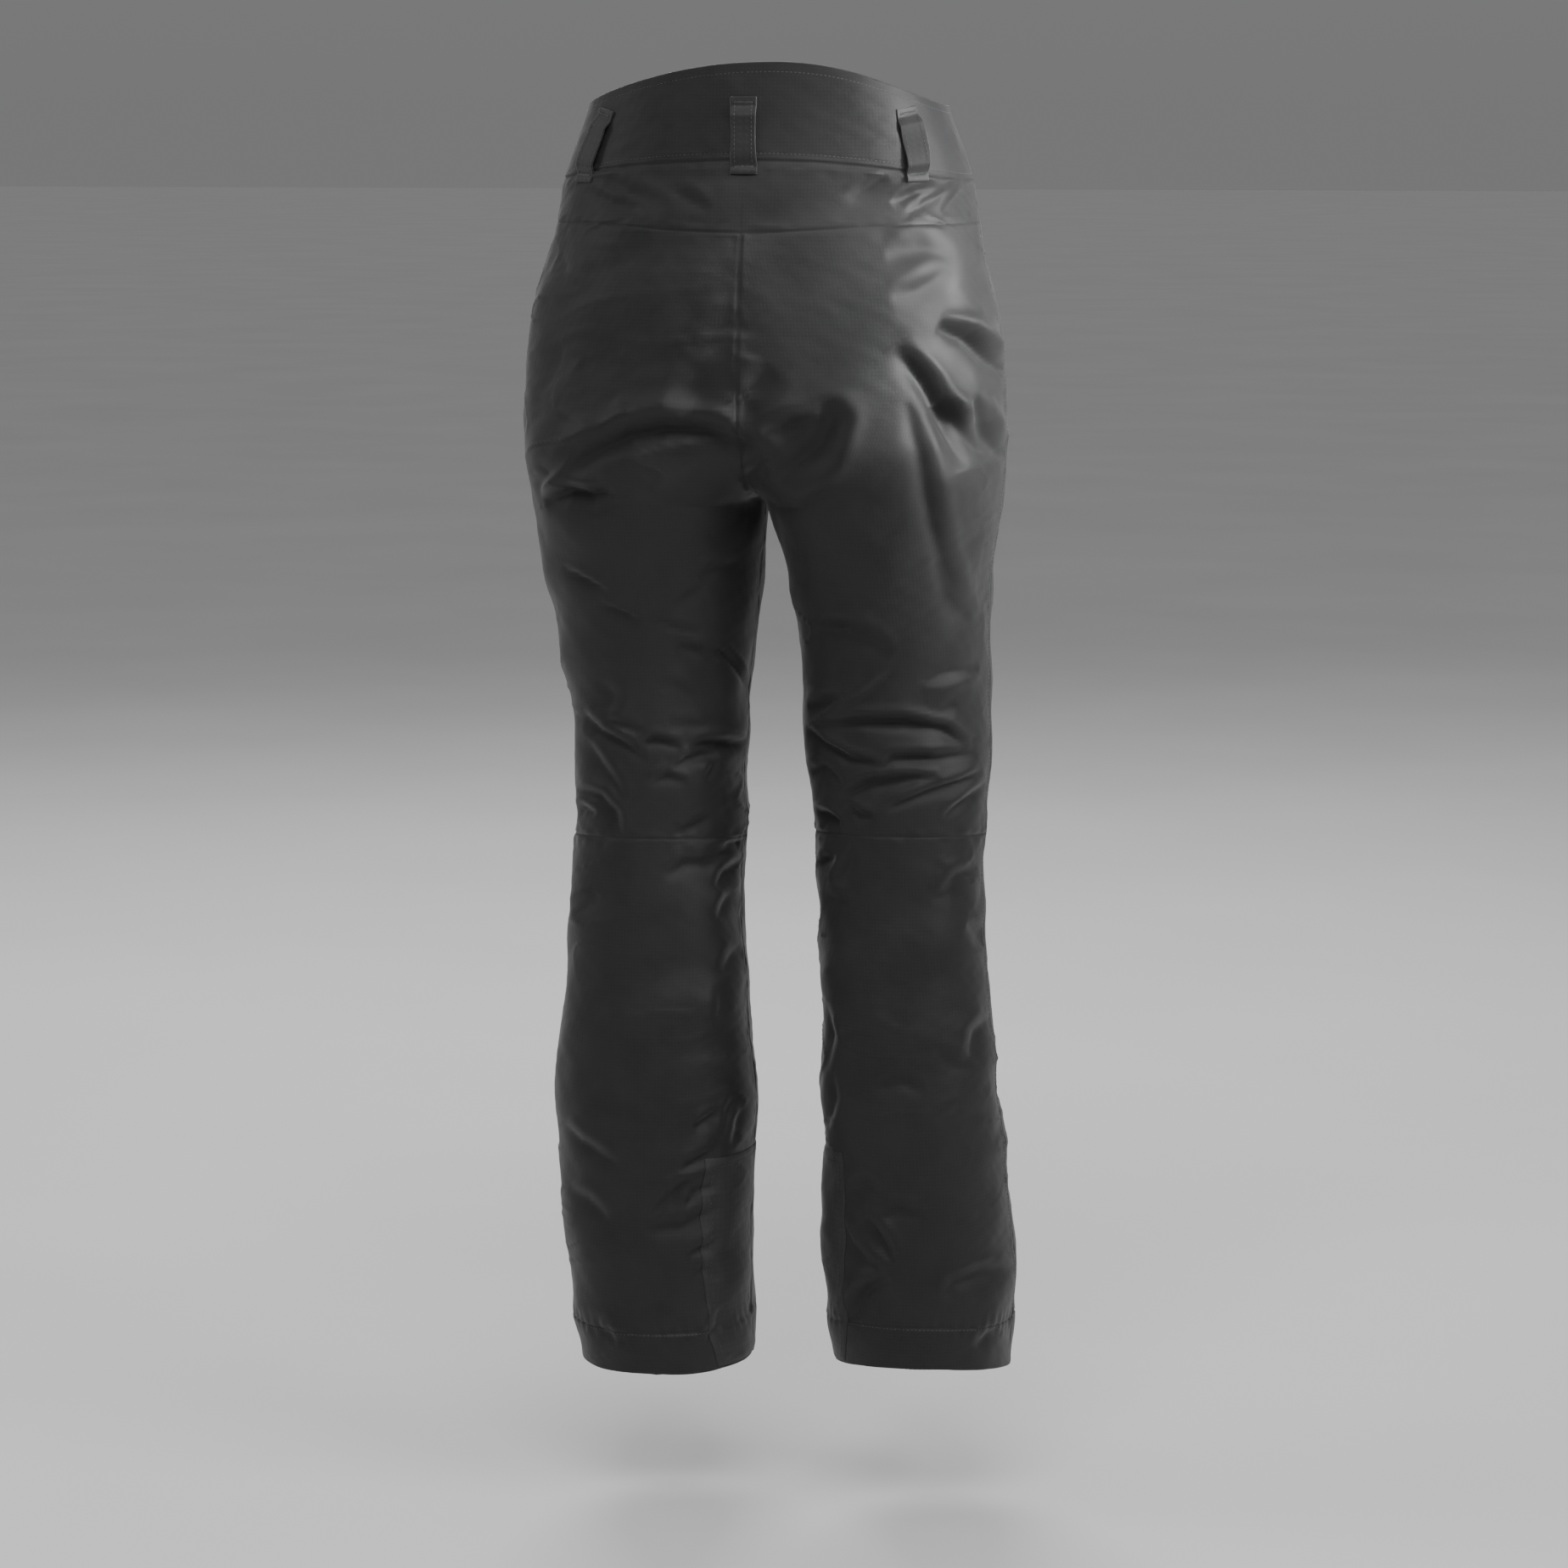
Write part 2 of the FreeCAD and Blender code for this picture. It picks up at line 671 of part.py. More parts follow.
def leg_nodes(side, shell, lining):
    nodes = {}
    thigh = shell.common(thigh_band(side))
    shin = shell.common(level_band(side, HEM + HEM_BAND, KNEE - KNEE_ZONE_HALF))
    for name, piece in (("thigh", thigh), ("shin", shin)):
        nodes[name + "_front_" + side] = piece.common(half_space(False))
        nodes[name + "_back_" + side] = piece.common(half_space(True))
    low = KNEE - KNEE_ZONE_HALF + ZONE_GAP
    high = KNEE + KNEE_ZONE_HALF - ZONE_GAP
    nodes["knee_zone_" + side] = shell.common(level_band(side, low, high))
    nodes["hem_band_" + side] = shell.common(level_band(side, HEM, HEM + HEM_BAND))
    nodes["lining_thigh_" + side] = lining.common(thigh_band(side))
    nodes["lining_shin_" + side] = lining.common(level_band(side, GAITER_TOP + 1, KNEE - KNEE_ZONE_HALF))
    nodes["scuff_patch_" + side] = scuff_patch(side)
    nodes.update(gaiter_nodes(side))
    return nodes


def scuff_patch(side):
    """Tough guard over the inside of the ankle, on top of the shell."""
    face = leg_block(side, -0.3)
    layer = leg_block(side, -0.3 - PATCH_THICK).cut(face)
    x, half_x = leg_at(side, (PATCH_TOP + HEM) / 2)[:2]
    s = SIDES[side]
    edge = x - s * half_x * 0.42
    outline = [(0, PATCH_TOP + 6), (edge, PATCH_TOP - 8), (edge, HEM + 1), (0, HEM + 1)]
    return layer.common(prism(outline, -70, 78))


def gaiter_nodes(side):
    x, half_x, front, back = leg_at(side, GAITER_TOP)
    low_x, _, low_front, low_back = leg_at(side, GAITER_LOW)
    middle = (low_front + low_back) / 2
    inset = LINING[1] + 0.4

    def tube(grow):
        half_y = GAITER_RING[1] + grow
        wires = [
            section(x, half_x + grow, front - grow, back + grow, GAITER_TOP, inset),
            section(x, half_x - 9 + grow, front + 9 - grow, back - 9 + grow, GAITER_TOP - 50, inset),
            section(low_x, GAITER_RING[0] + 1 + grow, middle - half_y, middle + half_y, GAITER_LOW + 30, 0),
            section(low_x, GAITER_RING[0] + grow, middle - half_y, middle + half_y, GAITER_LOW, 0),
        ]
        return loft(wires)

    wall = tube(0).cut(tube(-GAITER_WALL))
    split = GAITER_LOW + GAITER_ELASTIC_TALL
    nodes = {
        "gaiter_" + side: wall.common(level_band(side, split, GAITER_TOP)),
        "gaiter_elastic_" + side: wall.common(level_band(side, GAITER_LOW, split)),
    }
    place = FreeCAD.Placement(V(low_x, middle - GAITER_RING[1], split + 2), FreeCAD.Rotation())
    nodes["lace_hook_" + side] = placed(lace_hook(), place)
    return nodes


def lace_hook():
    """Bent wire hook on a small plate, at the front of the gaiter."""
    wide, tall, thick = HOOK_PLATE
    y = -thick - HOOK_GAP
    plate = block(-wide / 2, wide / 2, y, y + thick, HOOK_PLATE_LOW, tall + HOOK_PLATE_LOW)
    wire_y = y - HOOK_WIRE_R + HOOK_SINK
    start = V(0, wire_y, HOOK_LOW)
    shank = Part.makeCylinder(HOOK_WIRE_R, HOOK_SHANK, start, V(0, 0, 1))
    circle = Part.Wire(Part.makeCircle(HOOK_WIRE_R, start, V(0, 0, 1)))
    low = V(0, wire_y - HOOK_BEND_R, HOOK_LOW - HOOK_BEND_R)
    tip = V(0, wire_y - 2 * HOOK_BEND_R, HOOK_LOW)
    bend = Part.Wire(Part.Arc(start, low, tip).toShape())
    turn = bend.makePipeShell([circle], True, False)
    end = Part.makeCylinder(HOOK_WIRE_R, HOOK_TIP, tip, V(0, 0, 1))
    return fuse([plate, shank, turn, end])


def main():
    os.makedirs("parts", exist_ok=True)
    outer = garment(0)
    top = waist_top()
    below = below_waist_seam()
    shell = outer.cut(garment(SHELL)).common(top)
    facing = body_block(WAIST_FACING[0]).cut(body_block(WAIST_FACING[1]))
    lining = garment(LINING[0]).cut(garment(LINING[1])).common(top)
    bag_layer = body_block(POCKET_BAG[0]).cut(body_block(POCKET_BAG[1]))
    nodes = waistband_nodes(shell, facing, top, below)
    nodes.update(upper_nodes(shell, lining, below))
    nodes.update(tab_nodes())
    nodes.update(zip_nodes())
    nodes["fly_shield"] = fly_shield()
    for name, angle in BELT_LOOPS:
        nodes[name] = belt_loop(angle)
    for side in SIDES:
        nodes["pocket_bag_" + side] = pocket_bag(side, bag_layer)
        nodes.update(leg_nodes(side, shell, lining))
    for name in sorted(nodes):
        shape = nodes[name]
        closed = all(s.isClosed() and s.isValid() for s in shape.Solids)
        print(name, len(shape.Solids), closed, round(shape.Volume / 1000, 2))
        shape.exportStep("parts/" + name + ".step")
    print(len(nodes), "nodes")


main()
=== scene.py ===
import math

import bpy
import numpy as np
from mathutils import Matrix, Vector


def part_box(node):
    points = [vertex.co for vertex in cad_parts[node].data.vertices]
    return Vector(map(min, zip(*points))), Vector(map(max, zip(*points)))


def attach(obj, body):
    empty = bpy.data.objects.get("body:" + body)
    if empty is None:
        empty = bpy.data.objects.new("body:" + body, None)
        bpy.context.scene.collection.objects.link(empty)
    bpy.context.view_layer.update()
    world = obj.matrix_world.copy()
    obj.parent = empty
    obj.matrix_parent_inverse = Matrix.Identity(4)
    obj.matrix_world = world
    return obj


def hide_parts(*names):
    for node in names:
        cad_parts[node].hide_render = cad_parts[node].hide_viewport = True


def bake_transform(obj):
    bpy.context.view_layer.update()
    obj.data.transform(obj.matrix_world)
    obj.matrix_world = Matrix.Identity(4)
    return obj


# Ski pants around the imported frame. Shapes are worked out in millimetres, in the frame's
# own axes (front -Y, wearer's left +X), and turned into metres when a mesh is made.

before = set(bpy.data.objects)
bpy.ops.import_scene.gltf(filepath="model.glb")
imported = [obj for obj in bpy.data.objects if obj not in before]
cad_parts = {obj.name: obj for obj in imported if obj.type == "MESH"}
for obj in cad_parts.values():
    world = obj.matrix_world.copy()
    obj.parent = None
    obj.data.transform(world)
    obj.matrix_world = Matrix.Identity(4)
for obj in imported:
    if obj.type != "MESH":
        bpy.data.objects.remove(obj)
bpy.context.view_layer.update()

MM = 0.001
SIDES = {"left": 1, "right": -1}

# ---- driving dimensions, the same as the frame's ---------------------------------------

# Body above the crotch: height, half width, front reach, back reach
BODY = [
    (60, 128, 108, 110), (0, 145, 110, 112), (-44, 161, 112, 116), (-94, 172, 112, 128),
    (-155, 188, 112, 143), (-215, 196, 112, 149), (-280, 195, 112, 142), (-323, 193, 108, 127),
    (-360, 192, 104, 118),
]
BODY_LOW = BODY[-1][0]
# Legs: height, centre x, half width, front y, back y
LEG = {
    "left": [
        (-323, 96.5, 96.5, -108, 127), (-369, 96, 91, -98, 110), (-438, 93, 80, -92, 92),
        (-517, 91, 71, -88, 80), (-596, 93, 70, -86, 72), (-668, 95, 72, -80, 80),
        (-749, 94, 78, -74, 92), (-808, 93, 84, -72, 96), (-871, 94, 81, -74, 94),
        (-944, 94, 78, -76, 92), (-995, 90, 75, -78, 91), (-1037, 86, 71, -78, 90),
    ],
    "right": [
        (-323, 96.5, 96.5, -108, 127), (-369, 100, 84, -98, 110), (-438, 105, 77, -92, 92),
        (-517, 108, 76, -88, 80), (-596, 109, 69, -86, 72), (-668, 112, 68, -80, 80),
        (-749, 118, 70, -74, 92), (-808, 121, 73, -72, 96), (-871, 125, 75, -74, 94),
        (-944, 128, 79, -76, 92), (-995, 130, 77, -78, 91), (-1037, 132, 73, -78, 90),
    ],
}
SQUARENESS = 2.25  # of the section curve; an ellipse has 2
POWER = 2 / SQUARENESS
INSEAM_CURVE = 1.6  # how late the section closes in round the leg above the crotch

# Heights of the seams and bands
TOP_BACK, TOP_FRONT = 34, -8
WAIST_SEAM_SIDE, WAIST_SEAM_BACK, WAIST_SEAM_FRONT = -57, -41, -50
YOKE_SEAM = -92
RISE_START = -200
CROTCH = -323
OUTER_AT_CROTCH = -300
THIGH_CUT = -492
KNEE_SEAM = -599
HEM_STITCH = -1003
HEM = -1037
TOP_PEAK_TURN = 0.13  # the waistband stands highest a little to the right
RIGHT_LEG_LIFT = 15  # the right leg's hem sits higher behind

# The camera's place: level with the waist, turned towards the wearer's right
VIEW_DISTANCE = 3700
VIEW_TURN = math.radians(10)

# ---- folds -----------------------------------------------------------------------------
# Each fold: depth, width, and its line as seen from behind, in millimetres to the right
# and up from the waist's centre. The crest lies on the left of the line's direction.

BACK_FOLDS = [
    # seat
    (8.5, 10, [(-175, -305), (-151, -284), (-116, -268), (-85, -263), (-50, -266), (-19, -275),
        (-3, -291)]),
    (6, 7, [(-186, -321), (-166, -314), (-148, -317), (-129, -313)]),
    (-3, 5, [(-189, -316), (-170, -296), (-151, -274)]),
    (2.6, 12, [(-68, -262), (-61, -236), (-57, -208)]),
    (1.4, 9, [(-50, -200), (-40, -182), (-27, -165)]),
    (2, 8, [(-17, -235), (-8, -220), (1, -210)]),
    (2.4, 10, [(-1, -324), (-3, -299), (-10, -271), (-17, -246), (-22, -227)]),
    (7, 11, [(45, -236), (51, -253), (41, -278), (19, -296), (3, -303)]),
    (4, 8, [(-8, -266), (12, -261), (37, -252)]),
    (3, 7, [(-24, -303), (-10, -296), (-1, -299)]),
    (7.5, 7, [(138, -177), (163, -187), (192, -216)]),
    (6, 8, [(103, -194), (128, -224), (145, -253), (163, -293)]),
    (6, 7, [(139, -239), (158, -257), (180, -285)]),
    (7, 6, [(170, -234), (176, -257), (190, -285)]),
    (3, 8, [(113, -236), (124, -285), (133, -341), (152, -397)]),
    (2.2, 4, [(100, -77), (118, -69), (141, -63)]),
    (2.0, 4, [(112, -85), (136, -73), (167, -55)]),
    (1.8, 4, [(141, -85), (154, -70), (165, -62)]),
    (1.4, 5, [(64, -73), (81, -66), (96, -55)]),
    (1.6, 4, [(-148, -67), (-128, -77), (-101, -85)]),
    (1.5, 5, [(-132, -60), (-110, -69), (-81, -81)]),
    (1.2, 5, [(-79, -66), (-65, -74), (-49, -82)]),
    (1.6, 8, [(-176, -107), (-168, -128), (-169, -144)]),
    (1.8, 8, [(-168, -188), (-175, -210), (-191, -236)]),
    (1.6, 9, [(-127, -231), (-133, -250), (-148, -266)]),
    (1.6, 8, [(95, -119), (121, -114), (151, -119)]),
    (1.8, 8, [(100, -155), (124, -147), (147, -132)]),
    # thigh
    (2.2, 3, [(-170, -376), (-153, -385), (-133, -395)]),
    (2.0, 3, [(-139, -406), (-122, -412), (-106, -419)]),
    (1.6, 3, [(-99, -416), (-78, -424), (-57, -428)]),
    (2.6, 4, [(-78, -439), (-58, -444), (-41, -453)]),
    (2.2, 3, [(-59, -436), (-38, -445), (-29, -456), (-16, -476)]),
    (1.6, 5, [(-57, -384), (-43, -377), (-24, -372)]),
    (1.4, 5, [(-78, -409), (-66, -400), (-52, -393)]),
    (1.2, 5, [(-100, -471), (-78, -473), (-57, -484)]),
    (1.6, 6, [(-141, -469), (-130, -481), (-135, -500)]),
    (3.2, 8, [(34, -426), (62, -428), (100, -447)]),
    (2.8, 5, [(173, -459), (149, -463), (125, -471)]),
    (3.2, 6, [(32, -490), (46, -488), (62, -481)]),
    (-1.8, 4, [(99, -457), (72, -478), (50, -494), (30, -507)]),
    (1.4, 5, [(131, -497), (144, -493), (155, -487)]),
    (2.0, 9, [(137, -369), (146, -401), (170, -426)]),
    # knee
    (4, 5, [(-156, -494), (-141, -512), (-119, -524), (-102, -535)]),
    (2, 4, [(-145, -500), (-127, -504), (-105, -511)]),
    (3.2, 4, [(-110, -524), (-95, -519), (-72, -524)]),
    (1.5, 4, [(-82, -507), (-67, -505), (-51, -507)]),
    (5, 5, [(-67, -525), (-53, -522), (-20, -521)]),
    (4, 4, [(-80, -543), (-67, -534), (-40, -530)]),
    (2.6, 4, [(-100, -554), (-84, -549), (-67, -554)]),
    (2.2, 4, [(-54, -551), (-47, -544), (-43, -536)]),
    (2.6, 5, [(-152, -518), (-141, -539), (-126, -558), (-122, -569)]),
    (3.2, 5, [(-158, -559), (-140, -566), (-129, -579), (-126, -599)]),
    (3, 4, [(-162, -582), (-154, -575), (-143, -579)]),
    (2, 4, [(-78, -596), (-64, -591), (-46, -582)]),
    (2.6, 5, [(-87, -633), (-70, -622), (-39, -623)]),
    (2.6, 4, [(-56, -613), (-36, -610), (-20, -601)]),
    (3, 5, [(-44, -643), (-35, -630), (-20, -618)]),
    (2, 5, [(-43, -668), (-36, -655), (-29, -645)]),
    (2.2, 6, [(-163, -665), (-149, -653), (-143, -646)]),
    (5.2, 5, [(39, -508), (72, -504), (109, -504), (144, -510), (165, -524)]),
    (4.2, 4, [(30, -507), (44, -521), (65, -534), (93, -539)]),
    (4, 5, [(91, -544), (103, -534), (135, -535), (171, -529)]),
    (4, 5, [(60, -568), (81, -556), (107, -552), (141, -550)]),
    (4, 4, [(96, -576), (129, -563), (157, -554), (176, -544)]),
    (3, 4, [(144, -583), (160, -571), (178, -555)]),
    (3.2, 4, [(36, -576), (47, -581), (60, -589)]),
    (3.2, 4, [(63, -573), (74, -582), (88, -583)]),
    (2.6, 5, [(32, -546), (44, -541), (61, -556)]),
    (2.6, 4, [(39, -623), (46, -618), (54, -616)]),
    (2.4, 4, [(53, -638), (63, -623), (68, -610)]),
    (2.2, 6, [(143, -642), (156, -632), (173, -626)]),
    (1.8, 6, [(135, -651), (153, -645), (171, -656)]),
    (1.6, 6, [(43, -645), (54, -653), (66, -656)]),
    # shin
    (2.6, 6, [(-173, -841), (-160, -858), (-142, -870), (-126, -879)]),
    (2.2, 6, [(-170, -899), (-155, -908), (-136, -927)]),
    (3, 4, [(-63, -846), (-52, -839), (-40, -833)]),
    (3, 5, [(-76, -883), (-60, -873), (-43, -864)]),
    (3, 5, [(-103, -927), (-88, -909), (-72, -895), (-43, -888)]),
    (2.6, 4, [(-72, -917), (-62, -902), (-43, -895)]),
    (3, 6, [(-108, -934), (-76, -933), (-43, -915)]),
    (3, 5, [(-71, -957), (-55, -950), (-42, -939)]),
    (1.8, 5, [(-64, -969), (-51, -969), (-41, -977)]),
    (2, 6, [(-39, -715), (-32, -702), (-25, -691)]),
    (1.6, 6, [(-43, -755), (-40, -738), (-43, -724)]),
    (1.8, 4, [(-31, -863), (-26, -847), (-22, -825)]),
    (1.6, 4, [(-38, -854), (-35, -839), (-29, -818)]),
    (1.5, 4, [(46, -738), (52, -767), (49, -797)]),
    (1.5, 4, [(53, -797), (55, -822), (49, -847)]),
    (2.2, 7, [(65, -901), (82, -896), (98, -906)]),
    (4, 6, [(81, -924), (92, -942), (104, -962)]),
    (1.8, 5, [(88, -924), (106, -918), (132, -924)]),
    (2.6, 5, [(61, -924), (68, -947), (81, -962), (98, -972)]),
    (4, 6, [(64, -1015), (78, -989), (101, -975)]),
    (2.6, 6, [(147, -994), (155, -980), (178, -972), (204, -967)]),
    (2.2, 6, [(137, -781), (154, -792), (170, -796)]),
    (2.2, 6, [(168, -789), (172, -764), (185, -751)]),
    (1.6, 5, [(83, -813), (109, -807), (131, -816)]),
    (1.4, 6, [(140, -839), (158, -834), (180, -838)]),
    (2.2, 6, [(164, -673), (176, -679), (179, -694)]),
    (3, 6, [(-54, -1031), (-44, -1017), (-41, -1000)]),
    (2.4, 6, [(-148, -1015), (-137, -1024), (-128, -1033)]),
    (2.2, 6, [(174, -1037), (183, -1027), (192, -1019)]),
]
FRONT_FOLDS = [
    # as seen from the front, to the right and up
    (3.5, 9, [(-150, -262), (-110, -284), (-60, -306), (-14, -322)]),
    (3.0, 9, [(150, -262), (108, -286), (62, -304), (14, -322)]),
    (2.4, 8, [(-128, -236), (-84, -262), (-40, -300)]),
    (2.4, 8, [(126, -232), (86, -260), (42, -298)]),
    (2.6, 6, [(-12, -334), (-40, -352), (-78, -362)]),
    (2.6, 6, [(12, -334), (42, -350), (80, -364)]),
    (1.8, 5, [(-18, -372), (-52, -384), (-92, -384)]),
    (1.8, 5, [(20, -376), (56, -386), (96, -380)]),
    (1.6, 5, [(-30, -246), (-16, -280), (-4, -312)]),
    (1.6, 5, [(32, -250), (18, -282), (6, -312)]),
    (2.0, 8, [(60, -420), (96, -448), (150, -456)]),
    (2.0, 8, [(-62, -426), (-98, -452), (-156, -452)]),
    (2.2, 6, [(40, -646), (84, -658), (140, -648)]),
    (2.0, 6, [(-58, -650), (-100, -660), (-160, -646)]),
    (1.6, 5, [(50, -672), (90, -682), (132, -674)]),
    (1.6, 5, [(-74, -676), (-112, -686), (-150, -672)]),
    (1.8, 6, [(38, -528), (70, -540), (104, -536)]),
    (1.8, 6, [(-52, -530), (-88, -542), (-126, -534)]),
    (2.0, 7, [(120, -900), (90, -930), (52, -944)]),
    (2.0, 7, [(-164, -904), (-130, -934), (-92, -946)]),
    (1.8, 6, [(60, -972), (100, -984), (142, -976)]),
    (1.8, 6, [(-80, -974), (-124, -986), (-170, -974)]),
]
FOLD_STRENGTH = 1.6


def unit(a):
    """The same directions with length 1."""
    return a / (np.linalg.norm(a, axis=-1, keepdims=True) + 1e-12)


def length_along(path):
    """Distance from a line's first point to each of its points."""
    steps = np.linalg.norm(np.diff(path, axis=0), axis=1)
    return np.concatenate([[0], np.cumsum(steps)])


def smooth_table(rows, z):
    """Cubic curves through the rows of a table, at heights z."""
    table = np.array(sorted(rows), float)
    zs = table[:, 0]
    values = table[:, 1:]
    slopes = np.gradient(values, zs, axis=0)
    i = np.clip(np.searchsorted(zs, z) - 1, 0, len(zs) - 2)
    step = zs[i + 1] - zs[i]
    u = np.clip((z - zs[i]) / step, 0, 1)[..., None]
    step = step[..., None]
    a = (1 + 2 * u) * (1 - u) ** 2 * values[i] + u**2 * (3 - 2 * u) * values[i + 1]
    b = u * (1 - u) ** 2 * step * slopes[i] + u**2 * (u - 1) * step * slopes[i + 1]
    return np.moveaxis(a + b, -1, 0)


def smoothstep(low, high, x):
    u = np.clip((x - low) / (high - low), 0, 1)
    return u * u * (3 - 2 * u)


# ---- the garment as a grid -------------------------------------------------------------
# Each side is a grid. t goes round: 0 at the front seam and inseam, 0.5 at the side seam,
# 1 at the back seam and inseam. v goes down: whole numbers are the seams and bands.

def level(side, v, t):
    """Height of the grid's lines."""
    back = t > 0.5
    middle = np.cos(np.pi * t) ** 2
    round_leg = np.clip(-np.sin(2 * np.pi * t), 0, 1)
    peak = np.cos(np.pi * t - SIDES[side] * TOP_PEAK_TURN * middle) ** 2
    lift = RIGHT_LEG_LIFT if side == "right" else 0
    waist_seam = np.where(back, WAIST_SEAM_BACK, WAIST_SEAM_FRONT)
    lines = [
        np.where(back, TOP_BACK * peak, TOP_FRONT * middle),
        WAIST_SEAM_SIDE + middle * (waist_seam - WAIST_SEAM_SIDE),
        YOKE_SEAM - 6 * middle**4,
        RISE_START + 0 * t,
        CROTCH + (OUTER_AT_CROTCH - CROTCH) * np.sin(np.pi * t) ** 2,
        THIGH_CUT + 0 * t,
        KNEE_SEAM + 0.5 * lift + 7 * round_leg,
        HEM_STITCH + lift * (0.35 + 0.65 * round_leg),
        HEM + lift * round_leg,
    ]
    lines = np.array(np.broadcast_arrays(*lines))
    i = np.clip(np.floor(v).astype(int), 0, len(lines) - 2)
    u = v - i
    rise = np.sin(np.clip(v - 3, 0, 1) * np.pi / 2)
    share = rise + (u - rise) * np.sin(np.pi * t) ** 2
    u = np.where(i == 3, share, u)
    high = np.take_along_axis(lines, i[None], 0)[0]
    low = np.take_along_axis(lines, i[None] + 1, 0)[0]
    return high + (low - high) * u


def base_points(side, v, t):
    """Points of the smooth garment, before any fold, for arrays v and t of one shape."""
    z = level(side, v, t)
    alpha = np.arcsin(np.sin(np.clip(v - 3, 0, 1) * np.pi / 2) ** INSEAM_CURVE)
    wrap = np.sin(alpha) ** POWER
    reach, front, back = smooth_table(BODY, np.maximum(z, BODY_LOW))
    half_up = reach / (1 + wrap)
    centre_up = half_up * wrap
    centre, half, leg_front, leg_back = smooth_table(LEG[side], np.minimum(z, CROTCH))
    on_leg = z < CROTCH
    cx = np.where(on_leg, centre, centre_up)
    hx = np.where(on_leg, half, half_up)
    y0 = np.where(on_leg, leg_front, -front)
    y1 = np.where(on_leg, leg_back, back)
    span = np.pi / 2 + alpha
    angle = span * (2 * t - 1)
    c, s = np.cos(angle), np.sin(angle)
    x = cx + hx * np.sign(c) * np.abs(c) ** POWER
    y = (y0 + y1) / 2 + (y1 - y0) / 2 * np.sign(s) * np.abs(s) ** POWER
    return np.stack([SIDES[side] * x, y, z], -1)


def line_list(segments, extra, near):
    """Evenly spaced values over the segments, with closer ones beside the seams."""
    values = []
    for start, end, count in segments:
        values += list(np.linspace(start, end, count, endpoint=False))
    values.append(segments[-1][1])
    kept = [a for a in values if all(abs(a - b) > near for b in extra)]
    return np.array(sorted(kept + list(extra)))


SEAM_OFFSETS = (-5.5, -3.6, -2.0, -0.9, 0.0, 0.9, 2.0, 3.6, 5.5)
# Between each whole level and the next: the length down the cloth, and the number of rows
V_LENGTH = (70, 45, 108, 120, 180, 107, 404, 34)
V_CELLS = (22, 14, 34, 44, 52, 36, 128, 12)
ROW_GAP, COLUMN_GAP = 0.011, 0.0026  # least distance between even lines and seam lines


def offset_v(v, mm):
    """Grid level that lies a number of millimetres below a seam's level."""
    return v + mm / (V_LENGTH[v] if mm >= 0 else V_LENGTH[v - 1])


seam_rows = [offset_v(v, offset) for v in (1, 2, 6, 7) for offset in SEAM_OFFSETS]
ROWS = line_list(
    [(v, v + 1, count) for v, count in enumerate(V_CELLS)],
    seam_rows + [0.0, 3.0, 4.0, 5.0, 8.0],
    ROW_GAP,
)
T_MM = 1 / 500
seam_columns = [offset * T_MM for offset in SEAM_OFFSETS if offset >= 0]
COLUMNS = line_list(
    [(0, 1, 192)],
    seam_columns + [0.5 + o * T_MM for o in SEAM_OFFSETS] + [1 - o for o in seam_columns],
    COLUMN_GAP,
)
MIDDLE_COLUMN = int(np.argmin(np.abs(COLUMNS - 0.5)))


def row_at(v):
    return int(np.argmin(np.abs(ROWS - v)))


def grid_normals(p):
    """Outward normals of both sides' grids, made equal where the grids meet."""
    normals = {}
    at = row_at(4)
    leg = at + 1
    for side, grid in p.items():
        down = np.gradient(grid, axis=0)
        round_ = np.gradient(grid, axis=1)
        round_[leg:, 0] = grid[leg:, 1] - grid[leg:, -2]
        round_[leg:, -1] = round_[leg:, 0]
        normals[side] = unit(np.cross(round_, down) * -SIDES[side])
    for n in normals.values():
        n[:leg, [0, -1], 0] = 0
        n[at, [0, -1]] = (0, 0, -1)
        n[at - 1, [0, -1]] = 0.5 * n[at - 1, [0, -1]] + 0.5 * n[at, [0, -1]]
        n[leg:, 0] = n[leg:, -1] = n[leg:, 0] + n[leg:, -1]
        n[:] = unit(n)
    return normals


def seen_from_behind(p):
    """Where a point shows on the upright plane through the waist's centre, from the camera."""
    turn = np.array([-math.sin(VIEW_TURN), math.cos(VIEW_TURN), 0])
    camera = VIEW_DISTANCE * turn
    share = VIEW_DISTANCE / (VIEW_DISTANCE - p @ turn)
    q = camera + (p - camera) * share[..., None]
    right = np.array([-math.cos(VIEW_TURN), -math.sin(VIEW_TURN), 0])
    return np.stack([q @ right, q[..., 2]], -1), turn


